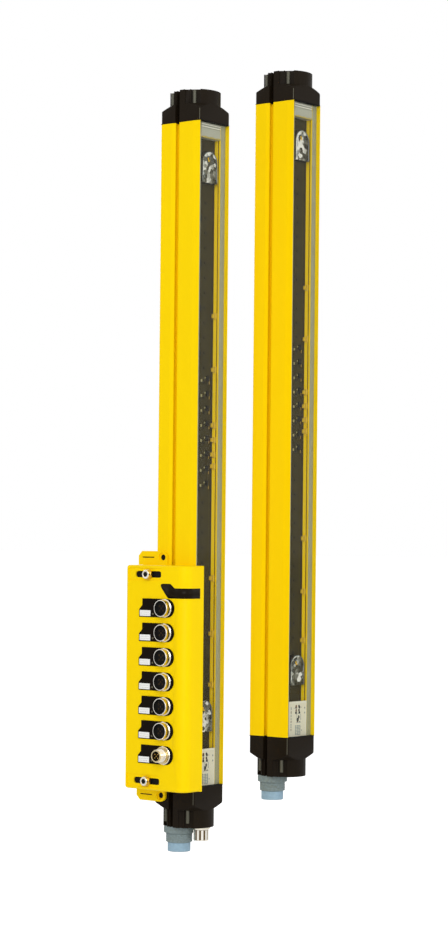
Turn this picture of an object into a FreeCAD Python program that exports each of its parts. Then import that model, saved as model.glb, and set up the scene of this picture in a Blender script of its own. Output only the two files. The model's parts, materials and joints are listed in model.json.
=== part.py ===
"""Two-beam safety light curtain: a receiver bar and a sender bar, with the connection box that the
receiver carries on its side.

Millimetres. +Z runs up the bars and the front screens face -Y. The origin is the middle of the lower
hub face of the receiver bar. In a bar's own frame z = 0 is the joint of the profile and its lower cap.
"""
import FreeCAD, Part
import Sketcher
import os
import re

doc = FreeCAD.newDocument("light_curtain")
V = FreeCAD.Vector

# ---------------------------------------------------------------- driving sizes
SIZES = {
    # bar section
    "bar_width": 52.0, "bar_depth": 55.5, "joint_height": 725.0, "seal_thick": 0.8,
    "corner_cut": 1.5, "facet_depth": 9.0, "facet_inset": 0.8,
    "rear_wall": 3.25, "lip_thick": 1.3,
    "screen_recess": 1.0, "screen_thick": 4.0, "screen_gap": 0.15,
    "strip_thick": 0.5, "strip_width": 7.4,
    "channel_width": 33.3, "board_deep": 8.2, "board_thick": 1.6, "board_seat": 1.65, "board_gap": 0.1,
    "wall_line_deep": 2.6, "wall_line_tall": 1.7, "wall_line_cut": 0.8,
    # side slot, behind the middle of the section
    "slot_middle": 4.0, "slot_mouth": 6.0, "slot_lip": 2.2, "slot_width": 10.5, "slot_deep": 8.0,
    "bevel_run": 4.5, "bevel_deep": 1.2,
    # caps
    "cap_corner": 3.0, "hub_diameter": 55.5, "flare": 10.0,
    "top_base": 12.5, "top_flare": 6.5, "top_total": 34.5,
    "low_base": 18.5, "low_flare": 7.0, "low_total": 45.0,
    "notch_angle": 32.8, "notch_width": 17.0, "notch_floor": 23.2,
    "rib_thick": 1.2, "rib_place": 2.4, "rib_tall": 2.2,
    "screw_place": 2.0, "screw_head": 3.8, "screw_shank": 3.0, "screw_gap": 0.1, "screw_grip": 16.0,
    "screw_stand": 14.0,
    # optics and display behind the screen
    "beam_pitch": 600.0, "beam_low": 76.6, "lens_width": 26.0, "lens_tall": 34.8, "lens_thick": 3.0,
    "lens_front": 1.4, "lens_dome": 19.0, "lens_hole": 2.4, "holder_wall": 1.4,
    "top_block_tall": 16.5, "block_front": 0.2, "block_line": 1.4,
    "plate_tall": 40.0, "plate_thick": 1.2, "lamp_size": 3.4, "lamp_pitch": 6.2, "lamp_gap": 0.1,
    # bottom connectors
    "plug_offset": 10.6, "plug_angle": 115.0, "plug_stem": 22.0, "stem_deep": 12.0, "stem_gap": 0.1,
    "plug_collar": 33.4, "plug_collar_tall": 7.5, "plug_thread": 28.5, "plug_thread_tall": 10.2,
    "plug_nose": 25.0, "plug_nose_tall": 10.3, "plug_bore": 20.0, "plug_bore_deep": 9.0,
    "pin_ring": 6.6, "pin_size": 1.0, "pin_tall": 6.5,
    "port_offset": 16.8, "port_angle": -86.0, "port_stem": 12.0, "port_collar": 20.0, "port_collar_tall": 1.6,
    "port_body": 15.5, "port_tall": 13.2, "port_bore": 10.6, "insert_gap": 0.1, "insert_sink": 1.2,
    # sender bar, from the receiver bar
    "sender_right": 156.0, "sender_front": 8.6, "sender_up": 44.6,
    # connection box
    "box_width": 85.3, "box_tall": 243.6, "box_depth": 30.0, "box_rear": 45.5, "box_low": -2.5,
    "back_thick": 3.2, "box_wall": 2.5, "box_round": 12.0, "box_edge": 3.0,
    "ear_left": 5.4, "ear_right": 35.3, "ear_tall": 15.2, "ear_hole": 28.6, "ear_hole_up": 8.4,
    "ear_bore": 6.5, "ear_sink": 10.0, "ear_sink_deep": 1.5, "ear_cut": 5.0,
    "opening_left": 12.7, "opening_right": 50.0, "opening_tall": 7.0, "opening_inset": 9.8,
    "pan_left": 3.7, "pan_tall": 13.6, "pan_deep": 1.0,
    "fix_place": 32.5, "fix_head": 9.4, "fix_stand": 5.6, "fix_shank": 5.0, "fix_boss": 11.0,
    "fix_hex": 5.0, "fix_gap": 0.15,
    "port_count": 7.0, "port_pitch": 26.43, "port_low": 39.0, "port_across": 56.0,
    "bezel_left": 24.2, "bezel_bump": 19.8, "bezel_middle": 59.2, "bezel_tall": 20.0,
    "bezel_thick": 1.6, "bezel_sink": 0.8, "bezel_gap": 0.1, "bump_tall": 8.4,
    "socket_outer": 18.2, "socket_stand": 7.0, "socket_bore": 15.2, "socket_stem": 16.6,
    "socket_deep": 9.0, "socket_sink": 1.6, "key_size": 1.6, "contact_hole": 1.4, "contact_deep": 4.0,
    "male_outer": 13.0, "male_stand": 12.5, "male_bore": 10.4, "male_base": 3.0, "male_sink": 8.0,
    "contact_ring": 2.8, "contact_pin": 1.0,
    "label_left": 21.3, "label_wide": 15.0, "label_tall": 6.3, "label_thick": 0.5, "label_up": 1.0,
    "dot_place": 40.0, "dot_size": 2.2, "dot_down": 6.4, "dot_stand": 0.6,
    "band_low": 208.4, "band_tall": 10.8, "band_start": 64.0, "band_deep": 1.2, "arrow_left": 50.9,
    "arrow_tall": 15.2, "arrow_wide": 10.0, "arrow_lean": 10.0, "band_gap": 0.1,
    "foot_low": 30.0, "foot_pitch": 160.0, "foot_tall": 24.0, "foot_gap": 0.2, "foot_lip": 2.5,
    "box_board_thick": 1.6, "box_board_inset": 8.0, "box_board_stand": 5.0, "stand_size": 6.0,
    "stand_inset": 14.0, "ear_line_tall": 1.2, "ear_line_wide": 17.0, "ear_line_deep": 0.8,
    "label_gap": 0.1,
}

sheet = doc.addObject("Spreadsheet::Sheet", "sizes")
for row, (alias, number) in enumerate(SIZES.items(), start=1):
    sheet.set(f"A{row}", alias)
    sheet.set(f"B{row}", str(number))
    sheet.setAlias(f"B{row}", alias)
doc.recompute()

parts = []


def bind(text):
    """The expression with every size name pointed at its cell."""
    return re.sub(r"[a-z_]{4,}", lambda m: "sizes." + m[0] if m[0] in SIZES else m[0], str(text))


def number(text):
    """The present value of an expression."""
    answer = sheet.evalExpression(bind(text))
    return float(getattr(answer, "Value", answer))


def turned(across, out, angle):
    """Sheet expressions of a point given across and out along a direction at this angle."""
    return (f"(({out}) * cos({angle}) - ({across}) * sin({angle}))",
            f"(({out}) * sin({angle}) + ({across}) * cos({angle}))")


# ---------------------------------------------------------------- building helpers
class Piece:
    """One sub-part as a body: sketches bound to the sheet, pads, pockets, revolutions and edges."""

    def __init__(self, label, home=None):
        self.body = doc.addObject("PartDesign::Body", label)
        self.body.Label = label
        self.body.AllowCompound = True
        self.label = label
        if home:
            for axis, text in zip("xyz", home):
                self.body.setExpression(f"Placement.Base.{axis}", bind(text))
        parts.append(self.body)

    def sketch(self, plane, offset):
        sketch = self.body.newObject("Sketcher::SketchObject", self.label + "_outline")
        role = [f for f in self.body.Origin.OriginFeatures if f.Role == plane + "_Plane"][0]
        sketch.AttachmentSupport = [(role, "")]
        sketch.MapMode = "FlatFace"
        sketch.setExpression("AttachmentOffset.Base.z", bind(offset))
        return sketch

    def outline(self, plane, offset, *loops):
        """Closed loops of corners (x, y) or (x, y, radius, turn), where an arc leads to the next."""
        sketch = self.sketch(plane, offset)
        for corners in loops:
            if isinstance(corners[2], str):
                add_circle(sketch, *corners)
            else:
                add_loop(sketch, corners)
        return sketch

    def feature(self, kind, sketch, **settings):
        before = 0 if self.body.Tip is None else self.body.Shape.Volume
        made = self.body.newObject("PartDesign::" + kind, self.label + "_" + kind.lower())
        made.Profile = sketch
        for name, value in settings.items():
            if name == "Axis":
                made.ReferenceAxis = (sketch, [value])
            elif isinstance(value, str):
                made.setExpression(name, bind(value))
            else:
                setattr(made, name, value)
        doc.recompute()
        change = self.body.Shape.Volume - before
        if (change < 0) != (kind in ("Pocket", "Groove")) or abs(change) < 1e-6:
            raise RuntimeError(f"{self.label}: {kind} changes the volume by {change:.3f}")
        return made

    def pad(self, plane, offset, length, *loops, back=False):
        return self.feature("Pad", self.outline(plane, offset, *loops), Length=length, Reversed=back)

    def pocket(self, plane, offset, length, *loops, back=False):
        return self.feature("Pocket", self.outline(plane, offset, *loops), Length=length, Reversed=back)

    def revolve(self, *loops):
        sketch = self.outline("XZ", "0", *loops)
        return self.feature("Revolution", sketch, Axis="V_Axis", Angle=360.0)

    def groove(self, *loops):
        sketch = self.outline("XZ", "0", *loops)
        return self.feature("Groove", sketch, Axis="V_Axis", Angle=360.0)

    def dress(self, kind, size, choose):
        """Fillet or chamfer the edges that choose(edge) accepts."""
        tip = self.body.Tip
        names = [f"Edge{i}" for i, edge in enumerate(tip.Shape.Edges, start=1) if choose(edge)]
        made = self.body.newObject("PartDesign::" + kind, self.label + "_" + kind.lower())
        made.Base = (tip, names)
        made.setExpression("Radius" if kind == "Fillet" else "Size", bind(size))
        doc.recompute()
        return made

    def repeat(self, features, plane_axis, count, length):
        """Repeat features along an axis of the body."""
        made = self.body.newObject("PartDesign::LinearPattern", self.label + "_pattern")
        made.Originals = features
        axis = [f for f in self.body.Origin.OriginFeatures if f.Role == plane_axis + "_Axis"][0]
        made.Direction = (axis, [""])
        made.setExpression("Occurrences", bind(count))
        made.setExpression("Length", bind(length))
        self.body.Tip = made
        doc.recompute()
        return made


def add_circle(sketch, x, y, diameter):
    centre = V(number(x), number(y), 0)
    item = sketch.addGeometry(Part.Circle(centre, V(0, 0, 1), number(diameter) / 2))
    pin(sketch, item, 3, x, y)
    index = sketch.addConstraint(Sketcher.Constraint("Diameter", item, number(diameter)))
    sketch.setExpression(f"Constraints[{index}]", bind(diameter))


def add_loop(sketch, corners):
    points = [V(number(c[0]), number(c[1]), 0) for c in corners]
    first = sketch.GeometryCount
    backward = set()
    for i, corner in enumerate(corners):
        start, end = points[i], points[(i + 1) % len(points)]
        if len(corner) == 2:
            sketch.addGeometry(Part.LineSegment(start, end))
            pin(sketch, first + i, 1, corner[0], corner[1])
            continue
        radius, turn = number(corner[2]), corner[3]
        chord = end - start
        side = V(-chord.y, chord.x, 0).normalize() * turn
        rise = max(radius ** 2 - (chord.Length / 2) ** 2, 0) ** 0.5
        middle = (start + end) / 2 + side * (rise - radius)
        sketch.addGeometry(Part.Arc(start, middle, end))
        at_start = (sketch.getPoint(first + i, 1) - start).Length < 1e-6
        if not at_start:
            backward.add(first + i)
        pin(sketch, first + i, 1 if at_start else 2, corner[0], corner[1])
        index = sketch.addConstraint(Sketcher.Constraint("Radius", first + i, radius))
        sketch.setExpression(f"Constraints[{index}]", bind(corner[2]))
    for i in range(len(corners)):
        here, after = first + i, first + (i + 1) % len(corners)
        tail = 1 if here in backward else 2
        head = 2 if after in backward else 1
        sketch.addConstraint(Sketcher.Constraint("Coincident", here, tail, after, head))


def pin(sketch, item, end, x, y):
    """Hold a point of the sketch at an expression's place from the origin."""
    for kind, text in (("DistanceX", x), ("DistanceY", y)):
        index = sketch.addConstraint(Sketcher.Constraint(kind, -1, 1, item, end, number(text)))
        sketch.setExpression(f"Constraints[{index}]", bind(text))


# ---------------------------------------------------------------- shared places
FRONT_FACE = "(-bar_depth / 2)"
SCREEN_FRONT = "(-bar_depth / 2 + screen_recess)"
SCREEN_BACK = "(-bar_depth / 2 + screen_recess + screen_thick)"
LEDGE = "(-bar_depth / 2 + screen_recess + screen_thick + strip_thick)"
BOARD_FRONT = "(-bar_depth / 2 + screen_recess + screen_thick + board_deep)"
BOARD_BACK = "(-bar_depth / 2 + screen_recess + screen_thick + board_deep + board_thick)"
SLOT_FRONT = "(slot_middle - slot_mouth / 2)"
SLOT_REAR = "(slot_middle + slot_mouth / 2)"
SCREW_OUT = "(notch_floor + screw_head / 2 + screw_gap)"
HOMES = {
    "receiver": ("0", "0", "low_total"),
    "sender": ("sender_right", "-sender_front", "low_total + sender_up"),
}


def corners_of(x_low, x_high, y_low, y_high):
    return [(x_low, y_low), (x_high, y_low), (x_high, y_high), (x_low, y_high)]


def both_sides(half):
    """A closed outline from its right half, given from the middle line round to the middle line."""
    return half + [(f"-({x})", y) for x, y in reversed(half)]


def notch_turns():
    """The four screw notches: direction from +X, and the side on which each notch has its rib."""
    return [("180 + notch_angle", 1), ("180 - notch_angle", -1), ("notch_angle", 1), ("-notch_angle", -1)]


def cap_screw_holes(diameter):
    places = [turned(f"{side} * screw_place", SCREW_OUT, angle) for angle, side in notch_turns()]
    return [(x, y, diameter) for x, y in places]


# ---------------------------------------------------------------- light bars
def profile(bar, home):
    """The drawn housing: window channel in front, board seats, a T slot in each side."""
    piece = Piece(f"{bar}_profile", home)
    ledge_out = "(bar_width / 2 - lip_thick)"
    slot_floor = "(bar_width / 2 - slot_deep)"
    half = [
        ("channel_width / 2 - board_seat", "bar_depth / 2 - rear_wall"),
        ("channel_width / 2 - board_seat", BOARD_BACK),
        ("channel_width / 2", BOARD_BACK),
        ("channel_width / 2", f"{SCREEN_BACK} + wall_line_deep + wall_line_tall"),
        ("channel_width / 2 + wall_line_cut", f"{SCREEN_BACK} + wall_line_deep + wall_line_tall"),
        ("channel_width / 2 + wall_line_cut", f"{SCREEN_BACK} + wall_line_deep"),
        ("channel_width / 2", f"{SCREEN_BACK} + wall_line_deep"),
        ("channel_width / 2", LEDGE),
        (ledge_out, LEDGE),
        (ledge_out, FRONT_FACE),
        ("bar_width / 2 - facet_inset", FRONT_FACE),
        ("bar_width / 2", f"{FRONT_FACE} + facet_depth"),
        ("bar_width / 2", SLOT_FRONT),
        ("bar_width / 2 - slot_lip", SLOT_FRONT),
        ("bar_width / 2 - slot_lip", "slot_middle - slot_width / 2"),
        (slot_floor, "slot_middle - slot_width / 2"),
        (slot_floor, "slot_middle + slot_width / 2"),
        ("bar_width / 2 - slot_lip", "slot_middle + slot_width / 2"),
        ("bar_width / 2 - slot_lip", SLOT_REAR),
        ("bar_width / 2 - bevel_deep", SLOT_REAR),
        ("bar_width / 2", f"{SLOT_REAR} + bevel_run"),
        ("bar_width / 2", "bar_depth / 2 - corner_cut"),
        ("bar_width / 2 - corner_cut", "bar_depth / 2"),
    ]
    holes = cap_screw_holes("screw_shank + 2 * screw_gap")
    piece.pad("XY", "seal_thick", "joint_height - 2 * seal_thick", both_sides(half), *holes)


def end_seal(bar, home, name, low):
    """The flat gasket between the profile and a cap, with the side slots left open."""
    piece = Piece(f"{bar}_{name}_seal", home)
    inset = "0.4"
    half = [
        ("0", f"{FRONT_FACE} + {inset}"),
        (f"bar_width / 2 - {inset}", f"{FRONT_FACE} + {inset}"),
        (f"bar_width / 2 - {inset}", SLOT_FRONT),
        ("bar_width / 2 - slot_deep", SLOT_FRONT),
        ("bar_width / 2 - slot_deep", SLOT_REAR),
        (f"bar_width / 2 - {inset}", SLOT_REAR),
        (f"bar_width / 2 - {inset}", f"bar_depth / 2 - {inset}"),
        ("0", f"bar_depth / 2 - {inset}"),
    ]
    loop = half + [(f"-({x})", y) for x, y in reversed(half[1:-1])]
    piece.pad("XY", low, "seal_thick", loop, *cap_screw_holes("screw_shank + 2 * screw_gap"))


def end_cap(bar, home, name, joint, way, base, flare, total):
    """A moulded cap: block, cone and round hub with four screw notches, open side slots throughout."""
    piece = Piece(f"{bar}_{name}_cap", home)
    down = way < 0
    block = corners_of("-bar_width / 2", "bar_width / 2", FRONT_FACE, "bar_depth / 2")
    piece.pad("XY", joint, total, block, back=down)
    piece.dress("Fillet", "cap_corner", lambda edge: is_upright(edge))
    reach = "(hub_diameter / 2 + flare)"
    wide = "(hub_diameter / 2 + 2 * flare)"
    rise = [f"{joint} + {way} * ({level})" for level in (f"{base} + {flare}", base, f"{total} + 1")]
    slope = f"{joint} + {way} * ({base} - {flare} * (({wide}) - ({reach})) / flare)"
    piece.groove([("hub_diameter / 2", rise[0]), (wide, slope), (wide, rise[2]), ("hub_diameter / 2", rise[2])])
    sides = []
    for side in (-1, 1):
        outer, inner = f"{side} * (bar_width / 2 + 1)", f"{side} * (bar_width / 2 - slot_deep)"
        sides.append(corners_of(outer, inner, SLOT_FRONT, SLOT_REAR))
    end = f"{joint} + {way} * ({total})"
    piece.pocket("XY", end, total, *sides, back=down)
    notches = [notch_outline(angle, side) for angle, side in notch_turns()]
    piece.pocket("XY", end, f"{total} - {base} - {flare}", *notches, back=down)
    piece.pocket("XY", end, total, *cap_screw_holes("screw_shank + 2 * screw_gap"), back=down)
    return piece


def notch_outline(angle, side):
    rib_low = f"({side} * (-rib_place - rib_thick / 2))"
    rib_high = f"({side} * (-rib_place + rib_thick / 2))"
    left, right = f"({-side} * notch_width / 2)", f"({side} * notch_width / 2)"
    top = "(notch_floor + rib_tall)"
    far = "(hub_diameter / 2 + 4)"
    places = [(left, "notch_floor"), (rib_low, "notch_floor"), (rib_low, top), (rib_high, top),
              (rib_high, "notch_floor"), (right, "notch_floor"), (right, far), (left, far)]
    return [turned(across, out, angle) for across, out in places]


def is_upright(edge):
    low, high = edge.BoundBox, edge.BoundBox
    return low.XLength < 1e-6 and high.YLength < 1e-6


def cap_screws(bar, home):
    """Long cylinder heads stand in the hub notches; their shanks grip the profile's screw ways."""
    piece = Piece(f"{bar}_cap_screws", home)
    heads = cap_screw_holes("screw_head")
    shanks = cap_screw_holes("screw_shank")
    top_seat = "joint_height + top_base + top_flare"
    low_seat = "-(low_base + low_flare)"
    piece.pad("XY", top_seat, "screw_stand", *heads)
    piece.pad("XY", low_seat, "screw_stand", *heads, back=True)
    piece.pad("XY", top_seat, "top_base + top_flare + seal_thick + screw_grip", *shanks, back=True)
    piece.pad("XY", low_seat, "low_base + low_flare + seal_thick + screw_grip", *shanks)


def front_screen(bar, home):
    piece = Piece(f"{bar}_front_screen", home)
    edge = "(bar_width / 2 - lip_thick - screen_gap)"
    piece.pad("XY", "seal_thick", "joint_height - 2 * seal_thick",
              corners_of(f"-{edge}", edge, SCREEN_FRONT, SCREEN_BACK))


def screen_strips(bar, home):
    piece = Piece(f"{bar}_screen_strips", home)
    outer = "(bar_width / 2 - lip_thick - screen_gap)"
    loops = []
    for side in (-1, 1):
        low, high = f"{side} * {outer}", f"{side} * ({outer} - strip_width)"
        loops.append(corners_of(low, high, SCREEN_BACK, LEDGE))
    piece.pad("XY", "seal_thick", "joint_height - 2 * seal_thick", *loops)


def circuit_board(bar, home):
    piece = Piece(f"{bar}_circuit_board", home)
    edge = "(channel_width / 2 - board_gap)"
    piece.pad("XY", "seal_thick", "joint_height - 2 * seal_thick",
              corners_of(f"-{edge}", edge, BOARD_FRONT, BOARD_BACK))


def arch(low):
    """A lens outline that stands on low: straight sides and a half-round head."""
    half, shoulder = "lens_width / 2", f"{low} + lens_tall - lens_width / 2"
    return [(f"-{half}", low), (half, low), (half, shoulder, half, 1), ("0", f"{low} + lens_tall", half, 1),
            (f"-{half}", shoulder)]


def optics(bar, home, name, middle):
    """One beam: the clear lens plate and the dark holder that carries it on the board."""
    low = f"({middle} - lens_tall / 2)"
    lens_face = f"({SCREEN_BACK} + lens_front)"
    holder_face = f"({SCREEN_BACK} + lens_front + lens_thick)"
    eye = ("0", f"{low} + lens_width / 2", "lens_dome")
    tab_hole = ("0", f"{low} + lens_tall - lens_hole * 1.5", "lens_hole")
    lens = Piece(f"{bar}_{name}_lens", home)
    lens.pad("XZ", f"-{lens_face}", "lens_thick", arch(low), tab_hole, back=True)
    lens.pad("XZ", f"-{lens_face}", "lens_front / 2", eye)
    holder = Piece(f"{bar}_{name}_lens_holder", home)
    holder.pad("XZ", f"-{holder_face}", "board_deep - lens_front - lens_thick", arch(low), eye, back=True)


def top_block(bar, home):
    piece = Piece(f"{bar}_top_block", home)
    edge = "(channel_width / 2 - board_gap)"
    top = "(joint_height - seal_thick)"
    face = f"({SCREEN_BACK} + block_front)"
    piece.pad("XZ", f"-{face}", "board_deep - block_front",
              corners_of(f"-{edge}", edge, f"{top} - top_block_tall", top), back=True)
    lines = [corners_of(f"-{edge} - 1", f"{edge} + 1", f"{top} - {k} * block_line",
                        f"{top} - {k} * block_line - block_line / 2") for k in (2, 4)]
    piece.pocket("XZ", f"-{face}", "block_line / 2", *lines)


def lamp_places():
    middle = "(seal_thick + plate_tall)"
    return [(f"{across} * lamp_pitch / 2", f"{middle} - lamp_pitch * ({up})") for across in (-1, 1)
            for up in ("1.1", "2.1")]


def indicator(bar, home):
    """The printed plate behind the screen, and the display module whose light pipes fill its holes."""
    edge = "(channel_width / 2 - board_gap)"
    face = f"({SCREEN_BACK} + block_front)"
    inner = f"({SCREEN_BACK} + block_front + plate_thick)"
    top = "(seal_thick + plate_tall)"
    holes = [(x, z, "lamp_size") for x, z in lamp_places()]
    pipes = [(x, z, "lamp_size - 2 * lamp_gap") for x, z in lamp_places()]
    digit_middle = f"({top} - 3.4 * lamp_pitch)"
    digit = ("0", digit_middle, "1.3 * lamp_size")
    lit_digit = ("0", digit_middle, "1.3 * lamp_size - 2 * lamp_gap")
    plate = Piece(f"{bar}_indicator_plate", home)
    plate.pad("XZ", f"-{face}", "plate_thick", corners_of(f"-{edge}", edge, "seal_thick", top),
              *holes, digit, back=True)
    module = Piece(f"{bar}_display_module", home)
    module.pad("XZ", f"-{inner}", "board_deep - block_front - plate_thick",
               corners_of(f"-{edge} + strip_thick", f"{edge} - strip_thick", "seal_thick", top), back=True)
    module.pad("XZ", f"-{inner}", "plate_thick", *pipes, lit_digit)


def system_plug(bar, home):
    """The grey multi-pole plug: stem in the cap, collar, threaded part and nose with its pin cavity."""
    x, y = turned("0", "plug_offset", "plug_angle")
    hub = "-low_total"
    piece = Piece(f"{bar}_system_plug", home)
    piece.pad("XY", hub, "stem_deep - stem_gap", (x, y, "plug_stem"))
    piece.pad("XY", hub, "plug_collar_tall", (x, y, "plug_collar"), back=True)
    piece.pad("XY", f"{hub} - plug_collar_tall", "plug_thread_tall", (x, y, "plug_thread"), back=True)
    nose_top = f"{hub} - plug_collar_tall - plug_thread_tall"
    piece.pad("XY", nose_top, "plug_nose_tall", (x, y, "plug_nose"), back=True)
    end = f"{nose_top} - plug_nose_tall"
    piece.pocket("XY", end, "plug_bore_deep", (x, y, "plug_bore"), back=True)
    pins = Piece(f"{bar}_plug_pins", home)
    places = [(x, y, "pin_size")]
    for k in range(11):
        ring_x, ring_y = turned("0", "pin_ring", f"{k} * 360 / 11")
        places.append((f"{x} + {ring_x}", f"{y} + {ring_y}", "pin_size"))
    pins.pad("XY", f"{end} + plug_bore_deep", "pin_tall", *places, back=True)


def extension_port(bar, home):
    """The round metal port beside the plug, for a further bar."""
    x, y = turned("0", "port_offset", "port_angle")
    hub = "-low_total"
    shell = Piece(f"{bar}_extension_port", home)
    shell.pad("XY", hub, "stem_deep - stem_gap", (x, y, "port_stem"))
    shell.pad("XY", hub, "port_collar_tall", (x, y, "port_collar"), back=True)
    shell.pad("XY", f"{hub} - port_collar_tall", "port_tall", (x, y, "port_body"), back=True)
    end = f"({hub} - port_collar_tall - port_tall)"
    shell.pocket("XY", end, "port_tall", (x, y, "port_bore"), back=True)
    insert = Piece(f"{bar}_extension_insert", home)
    insert.pad("XY", f"{end} + port_tall", "port_tall - insert_sink",
               (x, y, "port_bore - 2 * insert_gap"), back=True)
    holes = []
    for k in range(4):
        ring_x, ring_y = turned("0", "contact_ring", f"{k} * 90 + 45")
        holes.append((f"{x} + {ring_x}", f"{y} + {ring_y}", "contact_hole"))
    insert.pocket("XY", f"{end} + insert_sink", "contact_deep", (x, y, "contact_hole"), *holes, back=True)


def light_bar(bar, home, with_port):
    profile(bar, home)
    end_seal(bar, home, "top", "joint_height - seal_thick")
    end_seal(bar, home, "bottom", "0")
    end_cap(bar, home, "top", "joint_height", 1, "top_base", "top_flare", "top_total")
    bottom = end_cap(bar, home, "bottom", "0", -1, "low_base", "low_flare", "low_total")
    x, y = turned("0", "plug_offset", "plug_angle")
    wells = [(x, y, "plug_stem + 2 * stem_gap")]
    if with_port:
        wells.append((*turned("0", "port_offset", "port_angle"), "port_stem + 2 * stem_gap"))
    bottom.pocket("XY", "-low_total", "stem_deep", *wells, back=True)
    cap_screws(bar, home)
    front_screen(bar, home)
    screen_strips(bar, home)
    circuit_board(bar, home)
    optics(bar, home, "lower", "beam_low")
    optics(bar, home, "upper", "(beam_low + beam_pitch)")
    top_block(bar, home)
    indicator(bar, home)
    system_plug(bar, home)
    if with_port:
        extension_port(bar, home)


# ---------------------------------------------------------------- connection box
BOX_BACK = "(-bar_width / 2)"
BOX_PART = "(-bar_width / 2 - back_thick)"
BOX_FRONT = "(-bar_width / 2 - box_depth)"
BEZEL_FRONT = "(-bar_width / 2 - box_depth - bezel_thick + bezel_sink)"
BEZEL_BACK = "(-bar_width / 2 - box_depth + bezel_sink)"


def at(across, up):
    """A place on the box face: across from its rear edge, up from its lower edge."""
    return f"(box_rear - ({across}))", f"(low_total + box_low + ({up}))"


def face_block(left, right, low, high):
    return [at(left, low), at(right, low), at(right, high), at(left, high)]


def fixing_places():
    return [at("fix_place", "opening_inset"), at("fix_place", "box_tall - opening_inset")]


def back_shell():
    """The base moulding: plate, ears, screw bosses, board stands and the feet that slide in the bar."""
    piece = Piece("box_back_shell")
    top, hole_up, sink = "box_tall", "ear_hole_up", "(ear_right - ear_hole)"
    outline = [
        at("0", "0"), at("-ear_left", "0"), at("-ear_left", "-ear_tall + ear_cut"),
        at("-ear_left + ear_cut", "-ear_tall"), (*at("ear_hole", "-ear_tall"), sink, -1),
        at("ear_right", f"-ear_tall + {sink}"), at("ear_right", "0"), at("box_width", "0"),
        at("box_width", top), at("ear_right", top),
        (*at("ear_right", f"{top} + ear_tall - {sink}"), sink, -1), at("ear_hole", f"{top} + ear_tall"),
        at("-ear_left + ear_cut", f"{top} + ear_tall"), at("-ear_left", f"{top} + ear_tall - ear_cut"),
        at("-ear_left", top), at("0", top),
    ]
    piece.pad("YZ", BOX_BACK, "back_thick", outline, back=True)
    bores = [at("ear_hole", f"-{hole_up}"), at("ear_hole", f"{top} + {hole_up}")]
    piece.pad("YZ", BOX_PART, "box_depth - back_thick - box_wall - pan_deep",
              *[(*place, "fix_boss") for place in fixing_places()], back=True)
    stands = [(*at(across, up), "stand_size") for across in ("stand_inset", "box_width - stand_inset")
              for up in ("2 * stand_inset", "box_tall - 2 * stand_inset")]
    piece.pad("YZ", BOX_PART, "box_board_stand", *stands, back=True)
    for neck in (True, False):
        width = "slot_mouth - 2 * foot_gap" if neck else "slot_width - 2 * foot_gap"
        start = BOX_BACK if neck else f"{BOX_BACK} + slot_lip + foot_gap"
        feet = []
        for low in ("foot_low", "foot_low + foot_pitch"):
            z = f"(low_total + box_low + {low})"
            feet.append(corners_of(f"slot_middle - ({width}) / 2", f"slot_middle + ({width}) / 2",
                                   z, f"{z} + foot_tall"))
        piece.pad("YZ", start, "slot_lip + foot_gap" if neck else "foot_lip", *feet)
    piece.pocket("YZ", BOX_PART, "back_thick", *[(*place, "ear_bore") for place in bores], back=True)
    piece.pocket("YZ", BOX_PART, "ear_sink_deep", *[(*place, "ear_sink") for place in bores], back=True)
    lines = [face_block("0", "ear_line_wide", f"{middle} - ear_line_tall / 2", f"{middle} + ear_line_tall / 2")
             for middle in (f"-{hole_up}", f"{top} + {hole_up}")]
    piece.pocket("YZ", BOX_PART, "ear_line_deep", *lines, back=True)
    bore_end = "box_depth - back_thick - box_wall - pan_deep"
    piece.pocket("YZ", f"{BOX_PART} - ({bore_end})", bore_end,
                 *[(*place, "fix_shank + 2 * fix_gap") for place in fixing_places()], back=True)


def band_outline(gap):
    """Section of the inset strip that runs round the box's front corner, seen from above."""
    start, y_end = f"(box_rear - band_start)", "(box_rear - box_width)"
    front, inner = BOX_FRONT, f"({BOX_FRONT} + band_deep + {gap})"
    turn_y = f"({y_end} + box_round)"
    back_x = f"({BOX_PART} - box_edge)"
    return [
        (front, start), (front, turn_y, "box_round", 1), (f"{front} + box_round", y_end), (back_x, y_end),
        (back_x, f"{y_end} + band_deep + {gap}"),
        (f"{front} + box_round", f"{y_end} + band_deep + {gap}", f"box_round - band_deep - {gap}", -1),
        (inner, turn_y), (inner, start),
    ]


def arrow_outline(grow):
    low, high = f"band_low - {grow}", f"band_low + arrow_tall + {grow}"
    join = "band_start + 0.01"
    return [at(f"arrow_left - {grow}", high), at(f"arrow_left + arrow_lean - {grow}", low), at(join, low),
            at(join, f"band_low + band_tall + {grow}"),
            at(f"arrow_left + arrow_wide + {grow}", high)]


def bezel_outline(middle, grow):
    low, high = f"{middle} - bezel_tall / 2 - {grow}", f"{middle} + bezel_tall / 2 + {grow}"
    bump = f"{middle} - bezel_tall / 2 + bump_tall + {grow}"
    return [
        at(f"bezel_bump - {grow}", low), at(f"bezel_bump - {grow}", bump),
        at(f"bezel_left - {grow}", f"{bump} + bezel_left - bezel_bump"), at(f"bezel_left - {grow}", high),
        (*at("bezel_middle", high), f"bezel_tall / 2 + {grow}", 1),
        (*at(f"bezel_middle + bezel_tall / 2 + {grow}", middle), f"bezel_tall / 2 + {grow}", 1),
        at("bezel_middle", low),
    ]


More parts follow.
